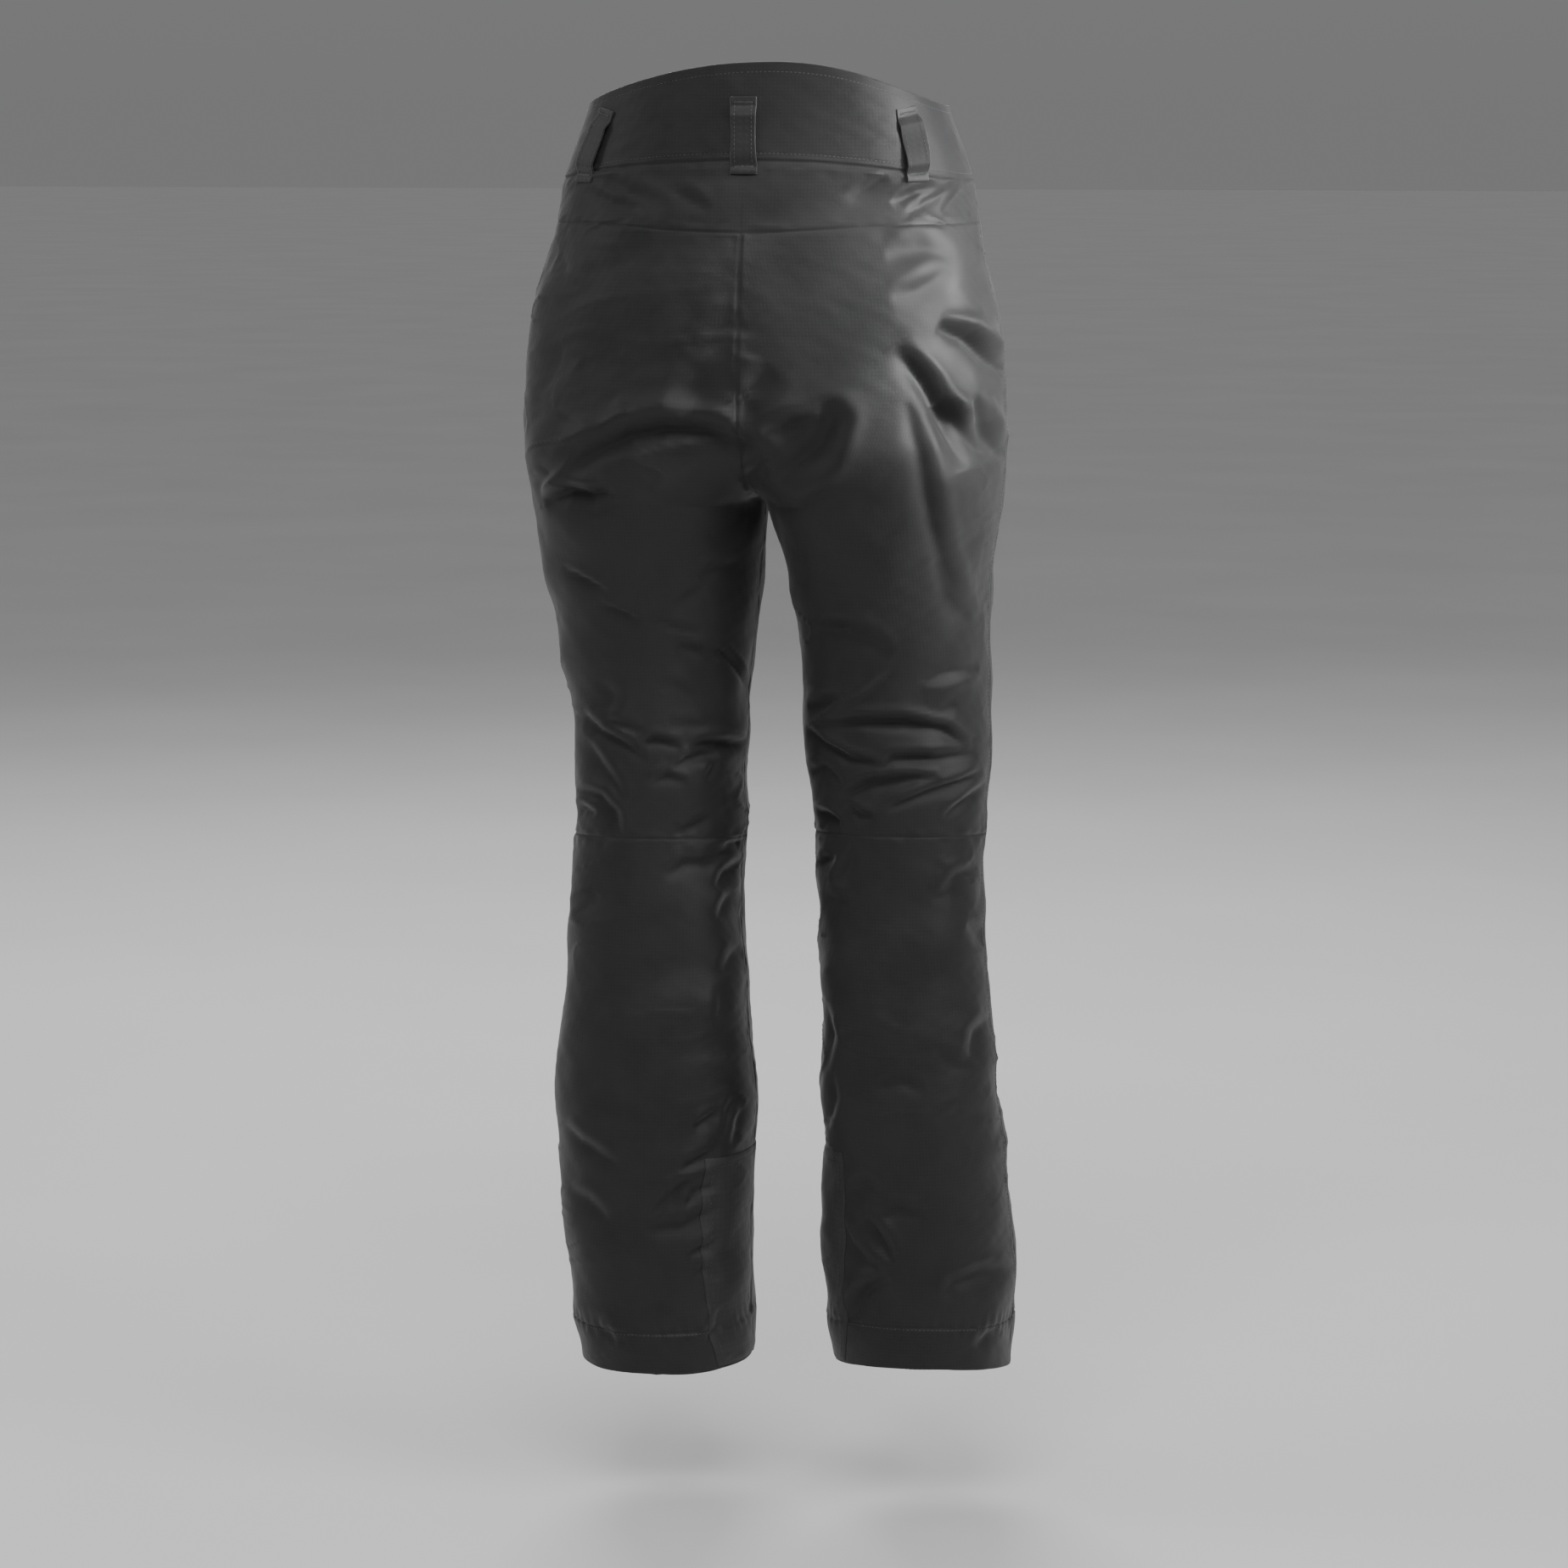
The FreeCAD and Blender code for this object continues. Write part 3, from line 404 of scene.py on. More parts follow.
def fold_height(places, folds):
    """Total rise of the folds at each place: a valley on the line and a crest beside it."""
    total = np.zeros(places.shape[:-1])
    for depth, width, line in folds:
        line = np.array(line, float)
        lo = line.min(0) - 7 * width
        hi = line.max(0) + 7 * width
        near = np.all((places > lo) & (places < hi), -1)
        if not near.any():
            continue
        q = places[near]
        best = np.full(len(q), 1e9)
        signed = np.zeros(len(q))
        along = np.zeros(len(q))
        lengths = np.linalg.norm(np.diff(line, axis=0), axis=1)
        done = 0.0
        for a, b, length in zip(line, line[1:], lengths):
            d = (b - a) / length
            s = np.clip((q - a) @ d, 0, length)
            off = q - (a + s[:, None] * d)
            dist = np.linalg.norm(off, axis=1)
            side = np.sign(d[0] * off[:, 1] - d[1] * off[:, 0])
            closer = dist < best
            best = np.where(closer, dist, best)
            signed = np.where(closer, dist * side, signed)
            along = np.where(closer, (done + s) / lengths.sum(), along)
            done += length
        taper = np.sqrt(np.clip(np.sin(np.pi * (0.06 + 0.88 * along)), 0, 1))
        w = width * (0.55 + 0.6 * taper)
        slope = np.where(signed > 0, 0.75, 1.35) * w
        valley = (1 + (signed / slope) ** 2) ** -1.6
        crest = (1 + ((signed - 1.65 * w) / (1.05 * w)) ** 2) ** -1.8
        fade = np.clip(np.sin(np.pi * along), 0, 1) ** 0.65
        total[near] += FOLD_STRENGTH * depth * fade * (0.55 * crest - valley)
    return total


def waves(p, seed, size, squash=(1, 1, 1), count=14):
    """Smooth random undulation between about -1 and 1."""
    rng = np.random.default_rng(seed)
    total = np.zeros(p.shape[:-1])
    for _ in range(count):
        k = rng.normal(size=3) * np.array(squash)
        k *= 2 * np.pi / size / 1.7
        total += np.sin(p @ k + rng.uniform(0, 2 * np.pi))
    return total / math.sqrt(count)


V, T = np.meshgrid(ROWS, COLUMNS, indexing="ij")


# ---- hardware places -------------------------------------------------------------------

def middle_of(*nodes):
    corners = [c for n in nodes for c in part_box(n)]
    low = np.min([list(c) for c in corners], 0)
    high = np.max([list(c) for c in corners], 0)
    return low / MM, high / MM


FLY_LENGTH, POCKET_LENGTH = 130, 112
POCKET_ENDS = ((146.0, -78.0), (177.0, -188.0))  # x and z of a pocket zip's two ends


def front_y(x, z):
    """Depth of the smooth front at a distance x from the middle and a height z."""
    reach, front, back = smooth_table(BODY, np.array([float(z)]))[:, 0]
    half = (front + back) / 2
    share = (np.abs(x) / reach) ** SQUARENESS
    return (back - front) / 2 - half * (1 - share) ** (1 / SQUARENESS)


def zip_axes(name):
    """A zip's upper end on its tape's face, and its across, outward and upward directions."""
    low, high = middle_of(name + "_zip_tape")
    if name == "fly":
        out = np.array([0.0, -1, 0])
        up = np.array([0.0, 0, 1])
        top = np.array([0, low[1], high[2] - 3])
        return top, np.cross(up, out), out, up, FLY_LENGTH
    side = 1 if name == "pocket_left" else -1
    ends = [np.array([side * x, front_y(x, z), z]) for x, z in POCKET_ENDS]
    up = unit(ends[0] - ends[1])
    x, z = np.mean(POCKET_ENDS, 0)
    reach, front, back = smooth_table(BODY, np.array([z]))[:, 0]
    share = x / reach
    deep = (1 - share**SQUARENESS) ** (1 / SQUARENESS)
    slope = SQUARENESS - 1
    normal = unit(np.array([side * share**slope / reach, -(deep**slope) * 2 / (front + back), 0]))
    out = unit(normal - up * (normal @ up))
    return ends[0] - out * 1.2, np.cross(up, out), out, up, POCKET_LENGTH


ZIPS = {name: zip_axes(name) for name in ("fly", "pocket_left", "pocket_right")}


def zip_local(p, name):
    """Across, outward and upward distances from a zip's upper end."""
    top, across, out, up, length = ZIPS[name]
    q = p - top
    return q @ across, q @ out, q @ up, length


def press_zips(p):
    """The shell lies flat beside each zip and passes behind it."""
    for name in ZIPS:
        a, o, h, length = zip_local(p, name)
        along = smoothstep(-length - 34, -length - 8, h) * (1 - smoothstep(8, 30, h))
        beside = 1 - smoothstep(14, 40, np.abs(a))
        here = (np.abs(o) < 40) & (p[..., 1] < 0)
        flat = along * beside * here
        slot = here * (1 - smoothstep(7.0, 9.0, np.abs(a))) * (1 - smoothstep(4.0, 6.5, h))
        slot = slot * smoothstep(-length - 6.5, -length - 4.0, h)
        target = 0.9 * flat + o * (1 - flat)
        target = target + slot * (-4.6 - target)
        p = p + (target - o)[..., None] * ZIPS[name][2]
    return p


def hardware_calm(p):
    """0 beside the hardware and 1 away from it, so that folds stay clear."""
    calm = np.ones(p.shape[:-1])
    for name in ZIPS:
        a, o, h, length = zip_local(p, name)
        d = np.maximum(np.abs(a) - 13, np.maximum(h - 8, -length - 8 - h))
        calm = np.where((np.abs(o) < 50) & (p[..., 1] < 0), calm * smoothstep(0, 26, d), calm)
    return calm


# ---- relief: folds, seams, puckers -----------------------------------------------------

def running(p, axis):
    """Length along the grid's lines from its first row or column."""
    steps = np.linalg.norm(np.diff(p, axis=axis), axis=-1)
    zero = np.zeros_like(np.take(p[..., 0], [0], axis))
    return np.concatenate([zero, np.cumsum(steps, axis)], axis)


def bump(d, middle, wide):
    return np.exp(-(((d - middle) / wide) ** 2))


def relief(side, p, n):
    places, towards = seen_from_behind(p)
    seen = smoothstep(0.02, 0.34, n @ towards)
    ahead = smoothstep(0.05, 0.4, -n[..., 1])
    band = smoothstep(0.9, 1.05, V)
    loose = hardware_calm(p) * band
    total = seen * loose * fold_height(places, BACK_FOLDS)
    total += ahead * loose * fold_height(p[..., [0, 2]], FRONT_FOLDS)

    down = running(p, 0)
    round_ = running(p, 1)
    soft = waves(p, 11, 95, (1.0, 1.0, 1.5)) * 1.3 + waves(p, 12, 40, (1, 1, 1.5)) * 0.42
    fine = waves(p, 13, 17, (1, 1, 1.3)) * 0.13
    crease = np.clip(1 - np.abs(waves(p, 14, 75, (0.7, 0.7, 1.6))) * 2.4, 0, 1) ** 2
    crease = crease * np.clip(waves(p, 15, 150), 0, 1)
    total += loose * (soft + fine + 1.1 * crease) + (1 - band) * (0.35 * soft + fine)

    back = smoothstep(0.5, 0.506, T)
    seam_noise = waves(p, 16, 14, (1, 1, 1), 10)
    d = down - down[row_at(1)]
    total += 0.9 * (1 - smoothstep(-0.3, 0.6, d))
    total += -0.5 * bump(d, 1.0, 0.9) + (0.6 + 0.4 * seam_noise) * bump(d, 7, 4.5)
    total += (0.12 * np.sin(2 * np.pi * round_ / 3.4) - 0.2) * bump(d, -3.6, 0.9)
    total -= 0.12 * bump(down, 6.5, 0.9)
    d = down - down[row_at(2)]
    beside = bump(d, -4.5, 3.5) + 0.7 * bump(d, 4.5, 3.5)
    total += back * (-0.75 * bump(d, 0, 0.85) + (0.3 + 0.35 * seam_noise) * beside)
    d = down - down[row_at(6)]
    beside = bump(d, -4, 3) + 0.8 * bump(d, 5, 3)
    total += back * (-0.85 * bump(d, 0, 0.85) + (0.3 + 0.5 * seam_noise) * beside)
    d = down - down[row_at(7)]
    pucker = np.sin(2 * np.pi * round_ / 10.5 + 1.6 * waves(p, 17, 60))
    total += -0.55 * bump(d, 0, 0.9) + 0.42 * pucker * bump(d, 0, 9) + 0.25 * seam_noise * bump(d, 0, 12)
    total += 0.35 * smoothstep(0, 2, d)

    d = round_ - round_[:, [MIDDLE_COLUMN]]
    body = smoothstep(1.0, 1.06, V)
    beside = bump(d, 4, 3) + 0.5 * bump(d, -4, 3)
    total += body * (-0.7 * bump(d, 0, 0.8) + (0.25 + 0.35 * seam_noise) * beside)
    d = np.minimum(round_, round_[:, [-1]] - round_)
    closed = np.where(T < 0.5, smoothstep(3.05, 3.2, V), smoothstep(2.0, 2.02, V))
    total += closed * (-0.7 * bump(d, 0, 0.8) + (0.2 + 0.45 * seam_noise) * bump(d, 4.2, 3))
    return total


def dress(p):
    """Adds the relief to both sides' grids and returns the points and their normals."""
    n = grid_normals(p)
    rises = {s: relief(s, p[s], n[s]) for s in p}
    shaped = {s: p[s] + n[s] * rises[s][..., None] for s in p}
    for s in shaped:
        shaped[s][: row_at(4) + 1, [0, -1], 0] = 0
    return shaped, grid_normals(shaped), rises


CROTCH_LIFT = 11
SOFTEN_ROUNDS = 90


def soften_crotch(grids):
    """Lets the seat and the insides of the legs flow into each other."""
    grids = {s: g.copy() for s, g in grids.items()}
    at = row_at(4)
    low, high = row_at(3.1), row_at(4.75)
    centre = np.array([0, 9.5, CROTCH])
    weight = {}
    for s, g in grids.items():
        reach = np.linalg.norm((g - centre) * [1.0, 0.75, 0.8], axis=-1)
        weight[s] = 0.6 * (1 - smoothstep(25, 95, reach))[low:high, :, None]
    for _ in range(SOFTEN_ROUNDS):
        old = {s: g.copy() for s, g in grids.items()}
        for s, g in grids.items():
            other = old["right" if s == "left" else "left"]
            o = old[s]
            wide = np.concatenate([o[:, :1], o, o[:, -1:]], 1)
            wide[: at + 1, 0] = other[: at + 1, 1]
            wide[: at + 1, -1] = other[: at + 1, -2]
            wide[at + 1 :, 0] = o[at + 1 :, -2]
            wide[at + 1 :, -1] = o[at + 1 :, 1]
            mean = (wide[:, :-2] + wide[:, 2:]) / 2
            mean[1:-1] = 0.5 * mean[1:-1] + 0.25 * (o[:-2] + o[2:])
            g[low:high] += (mean - o)[low:high] * weight[s]
            g[at + 1 :, -1] = g[at + 1 :, 0] = (g[at + 1 :, 0] + g[at + 1 :, -1]) / 2
        beside = ((-1, 0), (-1, -1), (0, 1), (0, -2), (1, 0))
        point = np.mean([old[s][at + d, c] for s in SIDES for d, c in beside], 0)
        for g in grids.values():
            g[: at + 1, [0, -1], 0] = 0
            g[at, 0] = g[at, -1] = (0, point[1], point[2])
    for g in grids.values():
        reach = np.linalg.norm((g - centre) * [1.0, 0.6, 1.0], axis=-1)
        g[..., 2] += CROTCH_LIFT * np.exp(-((reach / 55) ** 2))
    return grids


BASE = soften_crotch({s: base_points(s, V, T) for s in SIDES})
BASE = {s: press_zips(g) for s, g in BASE.items()}
BASE_N = grid_normals(BASE)
CLOTH, CLOTH_N, RISES = dress(BASE)


# ---- mesh building ---------------------------------------------------------------------

class Build:
    """Collects the parts of one piece: points in millimetres, normals, faces, materials and
    places on the flat cloth."""

    def __init__(self):
        self.points, self.normals, self.faces, self.kinds, self.flat = [], [], [], [], []
        self.count = 0

    def add(self, points, normals, faces, kind=0, flat=None):
        points = np.asarray(points, float).reshape(-1, 3)
        normals = np.asarray(normals, float).reshape(-1, 3)
        if flat is None:
            flat = points[:, [0, 2]]
        self.points.append(points)
        self.normals.append(normals)
        self.flat.append(np.asarray(flat, float).reshape(-1, 2))
        self.faces += [tuple(int(i) + self.count for i in f) for f in faces]
        self.kinds += [kind] * len(faces)
        self.count += len(points)

    def make(self, name, materials):
        mesh = bpy.data.meshes.new(name)
        points = np.concatenate(self.points) * MM
        normals = unit(np.concatenate(self.normals))
        flat = np.concatenate(self.flat) * MM
        mesh.from_pydata(points.tolist(), [], self.faces)
        mesh.polygons.foreach_set("use_smooth", [True] * len(self.faces))
        mesh.polygons.foreach_set("material_index", self.kinds)
        corner = np.zeros(len(mesh.loops), np.int32)
        mesh.loops.foreach_get("vertex_index", corner)
        layer = mesh.uv_layers.new(name="cloth")
        layer.data.foreach_set("uv", flat[corner].ravel())
        for m in materials:
            mesh.materials.append(m)
        mesh.update()
        mesh.normals_split_custom_set_from_vertices(normals.tolist())
        obj = bpy.data.objects.new(name, mesh)
        bpy.context.scene.collection.objects.link(obj)
        return obj


def quads(rows, columns, ring=False, flip=False):
    """Faces of a grid of points; a ring closes round its columns."""
    last = columns if ring else columns - 1
    r, c = np.meshgrid(np.arange(rows - 1), np.arange(last), indexing="ij")
    a = r * columns + c
    b = r * columns + (c + 1) % columns
    faces = np.stack([a, b, b + columns, a + columns], -1).reshape(-1, 4)
    return faces[:, ::-1] if flip else faces


def outward(p, n, faces):
    """Turns the faces round if they look against their normals."""
    q = p.reshape(-1, 3)
    f = np.asarray(faces).T
    face_normal = np.cross(q[f[2]] - q[f[0]], q[f[3]] - q[f[1]])
    return faces if (face_normal * n.reshape(-1, 3)[f[0]]).sum() > 0 else faces[:, ::-1]


def flat_places(p):
    """How far along and across the cloth each point lies, for the weave."""
    along = running(p, 1)
    return np.stack([along - along[:, [along.shape[1] // 2]], p[..., 2]], -1)


def sheet(build, p, n, thick, kind=0, inner_kind=None, ring=False, rounded=(), inner_n=None):
    """A layer of cloth: outer face, inner face and the edges between. Rounded edges are 0
    for the first row and -1 for the last."""
    rows, columns = p.shape[:2]
    inner = p - n * thick
    flat = flat_places(p)
    faces = outward(p, n, quads(rows, columns, ring))
    build.add(p, n, faces, kind, flat)
    under = inner_n if inner_n is not None else n
    build.add(inner, -under, faces[:, ::-1], kind if inner_kind is None else inner_kind, flat)
    for edge in (0, -1):
        step = unit(p[0] - p[1] if edge == 0 else p[-1] - p[-2])
        steps = 6 if edge in rounded else 1
        lines, around = [], []
        for k in range(steps + 1):
            turn = math.pi * k / steps
            out = step * math.sin(turn) + n[edge] * math.cos(turn)
            bulge = step * math.sin(turn) * (1 if edge in rounded else 0)
            middle = p[edge] - n[edge] * thick / 2
            lines.append(middle + bulge * thick / 2 + n[edge] * math.cos(turn) * thick / 2)
            around.append(out)
        q, m = np.array(lines), np.array(around)
        strip = quads(steps + 1, columns, ring)
        if steps > 1:
            strip = outward(q, m, strip)
        build.add(q, m, strip, kind, np.repeat(flat[[edge]], steps + 1, 0))
    if not ring:
        for edge in (0, -1):
            q = np.stack([p[:, edge], inner[:, edge]])
            step = p[:, edge] - p[:, 1 if edge == 0 else -2]
            build.add(q, np.stack([step, step]), quads(2, rows), kind, np.stack([flat[:, edge]] * 2))


def strap(build, path, across, out, half_width, thick, kind=0, cells=16, edge_dents=()):
    """A ribbon along a path, with rounded edges and closed, rounded ends."""
    path, across, out = (np.asarray(a, float) for a in (path, across, out))
    half_width = np.broadcast_to(half_width, len(path))
    rim_sides = [math.cos(math.pi * k / 4) for k in range(1, 4)]
    around = [(-1 + 2 * k / cells, 1.0) for k in range(cells + 1)]
    around += [(1.0, side) for side in rim_sides]
    around += [(1 - 2 * k / cells, -1.0) for k in range(cells + 1)]
    around += [(-1.0, -side) for side in rim_sides]
    points, normals, flat = [], [], []
    step = np.gradient(path, axis=0)
    length = length_along(path)
    for share, side in around:
        rim = abs(share) == 1.0
        swell = math.sqrt(max(0.0, 1 - side * side)) * thick / 2 if rim else 0
        dent = sum(0.28 * math.exp(-(((abs(share) - s) / 0.06) ** 2)) for s in edge_dents)
        tall = side * (thick / 2 - (dent if side > 0 else 0))
        w = (share * (half_width - thick / 2) + math.copysign(swell, share))[:, None]
        points.append(path + across * w + out * tall)
        lean = math.copysign(math.sqrt(max(0.0, 1 - side * side)), share) if rim else 0
        normals.append(across * lean + out * side)
        flat.append(np.stack([w[:, 0], length], -1))
    p = np.moveaxis(np.array(points), 0, 1)
    n = np.moveaxis(np.array(normals), 0, 1)
    f = np.moveaxis(np.array(flat), 0, 1)
    faces = outward(p, n, quads(len(path), len(around), True))
    build.add(p, n, faces, kind, f)
    for edge, sign in ((0, -1), (-1, 1)):
        d = sign * unit(step[edge])
        ring = p[edge]
        centre = ring.mean(0)
        tip = ((1.0, 0.0), (0.985, 0.3), (0.9, 0.42), (0.0, 0.45))
        q = np.array([centre + (ring - centre) * size + d * thick * far for size, far in tip])
        m = np.array([n[edge], n[edge] + d, n[edge] * 0.3 + d, np.repeat(d[None], len(ring), 0)])
        build.add(q, m, outward(q, m, quads(4, len(ring), True)), kind, np.repeat(f[[edge]], 4, 0))


def stitches(build, points, normals, kind=1, pitch=3.4, long=2.3, radius=0.26):
    """A row of thread stitches that lie along a line."""
    points, normals = np.asarray(points, float), np.asarray(normals, float)
    length = length_along(points)
    count = int(length[-1] / pitch)
    if count < 1:
        return
    starts = (np.arange(count) + 0.2) * pitch
    shares = np.array([0, 0.12, 0.5, 0.88, 1.0])
    sizes = np.array([0.15, 0.8, 1.0, 0.8, 0.15])
    lifts = np.array([-0.25, 0.0, 0.12, 0.0, -0.25])
    turns = np.linspace(0, 2 * np.pi, 7)[:-1]
    across, upward = np.cos(turns), np.sin(turns)
    for start in starts:
        s = start + long * shares
        line = np.stack([np.interp(s, length, points[:, k]) for k in range(3)], -1)
        up = np.stack([np.interp(s, length, normals[:, k]) for k in range(3)], -1)
        side = unit(np.cross(unit(line[-1] - line[0]), up))
        ring = across[:, None] * side[:, None] + upward[:, None] * up[:, None]
        q = (line + up * lifts[:, None])[:, None] + ring * (radius * sizes)[:, None, None]
        build.add(q, ring, outward(q, ring, quads(5, 6, True)), kind)


def bar_tack(build, centre, along, up, out, long=11.0, wide=2.0, kind=1):
    """A short, dense zigzag of thread across a strap."""
    turns = int(long / 0.55)
    s = np.linspace(-long / 2, long / 2, turns)
    zig = wide / 2 * np.where(np.arange(turns) % 2, 1, -1)
    path = centre + s[:, None] * along + zig[:, None] * up
    for a, b in zip(path, path[1:]):
        gap = np.linalg.norm(b - a)
        stitches(build, [a, b], [out, out], kind, gap * 0.99, gap, 0.3)


def sample(grid, v, t):
    """Values of a grid at any v and t, between its lines."""
    v, t = np.asarray(v, float), np.asarray(t, float)
    i = np.clip(np.searchsorted(ROWS, v) - 1, 0, len(ROWS) - 2)
    j = np.clip(np.searchsorted(COLUMNS, t) - 1, 0, len(COLUMNS) - 2)
    a = np.clip((v - ROWS[i]) / (ROWS[i + 1] - ROWS[i]), 0, 1)[..., None]
    b = np.clip((t - COLUMNS[j]) / (COLUMNS[j + 1] - COLUMNS[j]), 0, 1)[..., None]
    top = grid[i, j] * (1 - b) + grid[i, j + 1] * b
    low = grid[i + 1, j] * (1 - b) + grid[i + 1, j + 1] * b
    return top * (1 - a) + low * a


def v_at_height(z):
    """Grid level of a height below the crotch, away from the seams' small curves."""
    return np.interp(z, (HEM, HEM_STITCH, KNEE_SEAM, THIGH_CUT, CROTCH), (8, 7, 6, 5, 4))


# ---- materials -------------------------------------------------------------------------

def new_material(name, **values):
    m = bpy.data.materials.new(name)
    m.use_nodes = True
    shader = m.node_tree.nodes["Principled BSDF"]
    for key, value in values.items():
        shader.inputs[key.replace("_", " ")].default_value = value
    return m, m.node_tree.nodes, m.node_tree.links, shader


def node(nodes, kind, **values):
    n = nodes.new(kind)
    for key, value in values.items():
        if hasattr(n, key):
            setattr(n, key, value)
        else:
            n.inputs[key.replace("_", " ")].default_value = value
    return n


def two_tone(nodes, links, shader, factor, dark, light):
    ramp = node(nodes, "ShaderNodeValToRGB")
    ramp.color_ramp.elements[0].color = (*dark, 1)
    ramp.color_ramp.elements[1].color = (*light, 1)
    ramp.color_ramp.elements[0].position = 0.3
    ramp.color_ramp.elements[1].position = 0.72
    links.new(factor, ramp.inputs["Fac"])
    links.new(ramp.outputs["Color"], shader.inputs["Base Color"])


def woven(name, dark, light, rough, sheen, thread_mm, weave=0.05, crinkle=0.25, patch=30, shine=0.5):
    """Woven cloth: two thread directions, small crinkles, soft changes of colour and gloss."""
    m, nodes, links, shader = new_material(
        name, Sheen_Weight=sheen, Sheen_Roughness=0.42, Specular_IOR_Level=shine
    )
    uv = node(nodes, "ShaderNodeTexCoord").outputs["UV"]
    place = node(nodes, "ShaderNodeTexCoord").outputs["Object"]
    heights = []
    for turn in (0, math.pi / 2):
        spin = node(nodes, "ShaderNodeMapping")
        spin.inputs["Rotation"].default_value[2] = turn
        links.new(uv, spin.inputs["Vector"])
        wave = node(nodes, "ShaderNodeTexWave", Scale=1 / (thread_mm * MM) / 20, Distortion=0.6)
        wave.inputs["Detail Scale"].default_value = 3.0
        links.new(spin.outputs["Vector"], wave.inputs["Vector"])
        heights.append(wave.outputs["Fac"])
    cross = node(nodes, "ShaderNodeMath", operation="MULTIPLY")
    links.new(heights[0], cross.inputs[0])
    links.new(heights[1], cross.inputs[1])
    small = node(nodes, "ShaderNodeTexNoise", Scale=260.0, Detail=5.0, Roughness=0.62)
    links.new(place, small.inputs["Vector"])
    broad = node(nodes, "ShaderNodeTexNoise", Scale=float(patch), Detail=4.0, Roughness=0.6)
    links.new(place, broad.inputs["Vector"])
    first = node(nodes, "ShaderNodeBump", Strength=0.5, Distance=crinkle * MM)
    links.new(small.outputs["Fac"], first.inputs["Height"])
    second = node(nodes, "ShaderNodeBump", Strength=0.6, Distance=weave * MM)
    links.new(cross.outputs["Value"], second.inputs["Height"])
    links.new(first.outputs["Normal"], second.inputs["Normal"])
    links.new(second.outputs["Normal"], shader.inputs["Normal"])
    blend = node(nodes, "ShaderNodeMath", operation="MULTIPLY_ADD")
    blend.inputs[1].default_value = 0.25
    links.new(cross.outputs["Value"], blend.inputs[0])
    links.new(broad.outputs["Fac"], blend.inputs[2])
    two_tone(nodes, links, shader, blend.outputs["Value"], dark, light)
    gloss = node(nodes, "ShaderNodeMapRange")
    gloss.inputs["From Min"].default_value = 0.3
    gloss.inputs["From Max"].default_value = 0.7
    gloss.inputs["To Min"].default_value = rough - 0.05
    gloss.inputs["To Max"].default_value = rough + 0.06
    links.new(broad.outputs["Fac"], gloss.inputs["Value"])
    links.new(gloss.outputs["Result"], shader.inputs["Roughness"])
    return m


def solid(name, dark, light, rough, metal=0.0, grain=120.0, depth=0.03, coat=0.0):
    """Moulded plastic or metal: fine grain, slight wear in colour and gloss."""
    m, nodes, links, shader = new_material(name, Metallic=metal, Coat_Weight=coat)
    place = node(nodes, "ShaderNodeTexCoord").outputs["Object"]
    fine = node(nodes, "ShaderNodeTexNoise", Scale=grain * 8, Detail=3.0)
    broad = node(nodes, "ShaderNodeTexNoise", Scale=grain, Detail=4.0)
    for n in (fine, broad):
        links.new(place, n.inputs["Vector"])
    lift = node(nodes, "ShaderNodeBump", Strength=0.4, Distance=depth * MM)
    links.new(fine.outputs["Fac"], lift.inputs["Height"])
    links.new(lift.outputs["Normal"], shader.inputs["Normal"])
    two_tone(nodes, links, shader, broad.outputs["Fac"], dark, light)
    gloss = node(nodes, "ShaderNodeMapRange")
    gloss.inputs["To Min"].default_value = rough - 0.06
    gloss.inputs["To Max"].default_value = rough + 0.08
    links.new(broad.outputs["Fac"], gloss.inputs["Value"])
    links.new(gloss.outputs["Result"], shader.inputs["Roughness"])
    return m


SHELL = woven(
    "shell_fabric", (0.0125, 0.0125, 0.0130), (0.0175, 0.0175, 0.0180), 0.56, 0.14, 0.45, shine=0.24
)
TRIM = woven(
    "trim_webbing", (0.012, 0.012, 0.0125), (0.019, 0.019, 0.0195), 0.55, 0.3, 0.9, 0.12, 0.1, shine=0.28
)
SCUFF = woven(
    "scuff_fabric", (0.020, 0.020, 0.0205), (0.027, 0.027, 0.0275), 0.6, 0.12, 0.8, 0.1, 0.1, shine=0.25
)
LINING = woven("lining_fabric", (0.05, 0.052, 0.056), (0.075, 0.078, 0.083), 0.5, 0.2, 0.6, 0.05, 0.3)
GAITER = woven("gaiter_fabric", (0.022, 0.023, 0.025), (0.033, 0.034, 0.036), 0.5, 0.2, 0.5, 0.05, 0.3)
ELASTIC = woven("gripper_elastic", (0.012, 0.012, 0.013), (0.03, 0.03, 0.032), 0.6, 0.1, 1.4, 0.2, 0.1)
TAPE = woven("zip_tape", (0.014, 0.014, 0.015), (0.024, 0.024, 0.026), 0.6, 0.15, 0.8, 0.12, 0.08)
THREAD = woven("thread", (0.016, 0.016, 0.017), (0.03, 0.03, 0.032), 0.45, 0.3, 0.3, 0.05, 0.05)
TEETH = solid("zip_teeth", (0.02, 0.02, 0.021), (0.035, 0.035, 0.037), 0.35, grain=200)
ZIP_METAL = solid("zip_metal", (0.10, 0.10, 0.105), (0.2, 0.2, 0.205), 0.34, 0.9, 160, 0.02)
RUBBER = solid("pull_rubber", (0.016, 0.016, 0.017), (0.028, 0.028, 0.029), 0.55, 0, 180, 0.06)
SNAP = solid("snap_metal", (0.05, 0.05, 0.053), (0.11, 0.11, 0.115), 0.32, 0.85, 200, 0.02, 0.2)
STEEL = solid("hook_steel", (0.28, 0.28, 0.29), (0.42, 0.42, 0.43), 0.3, 1.0, 180, 0.02)
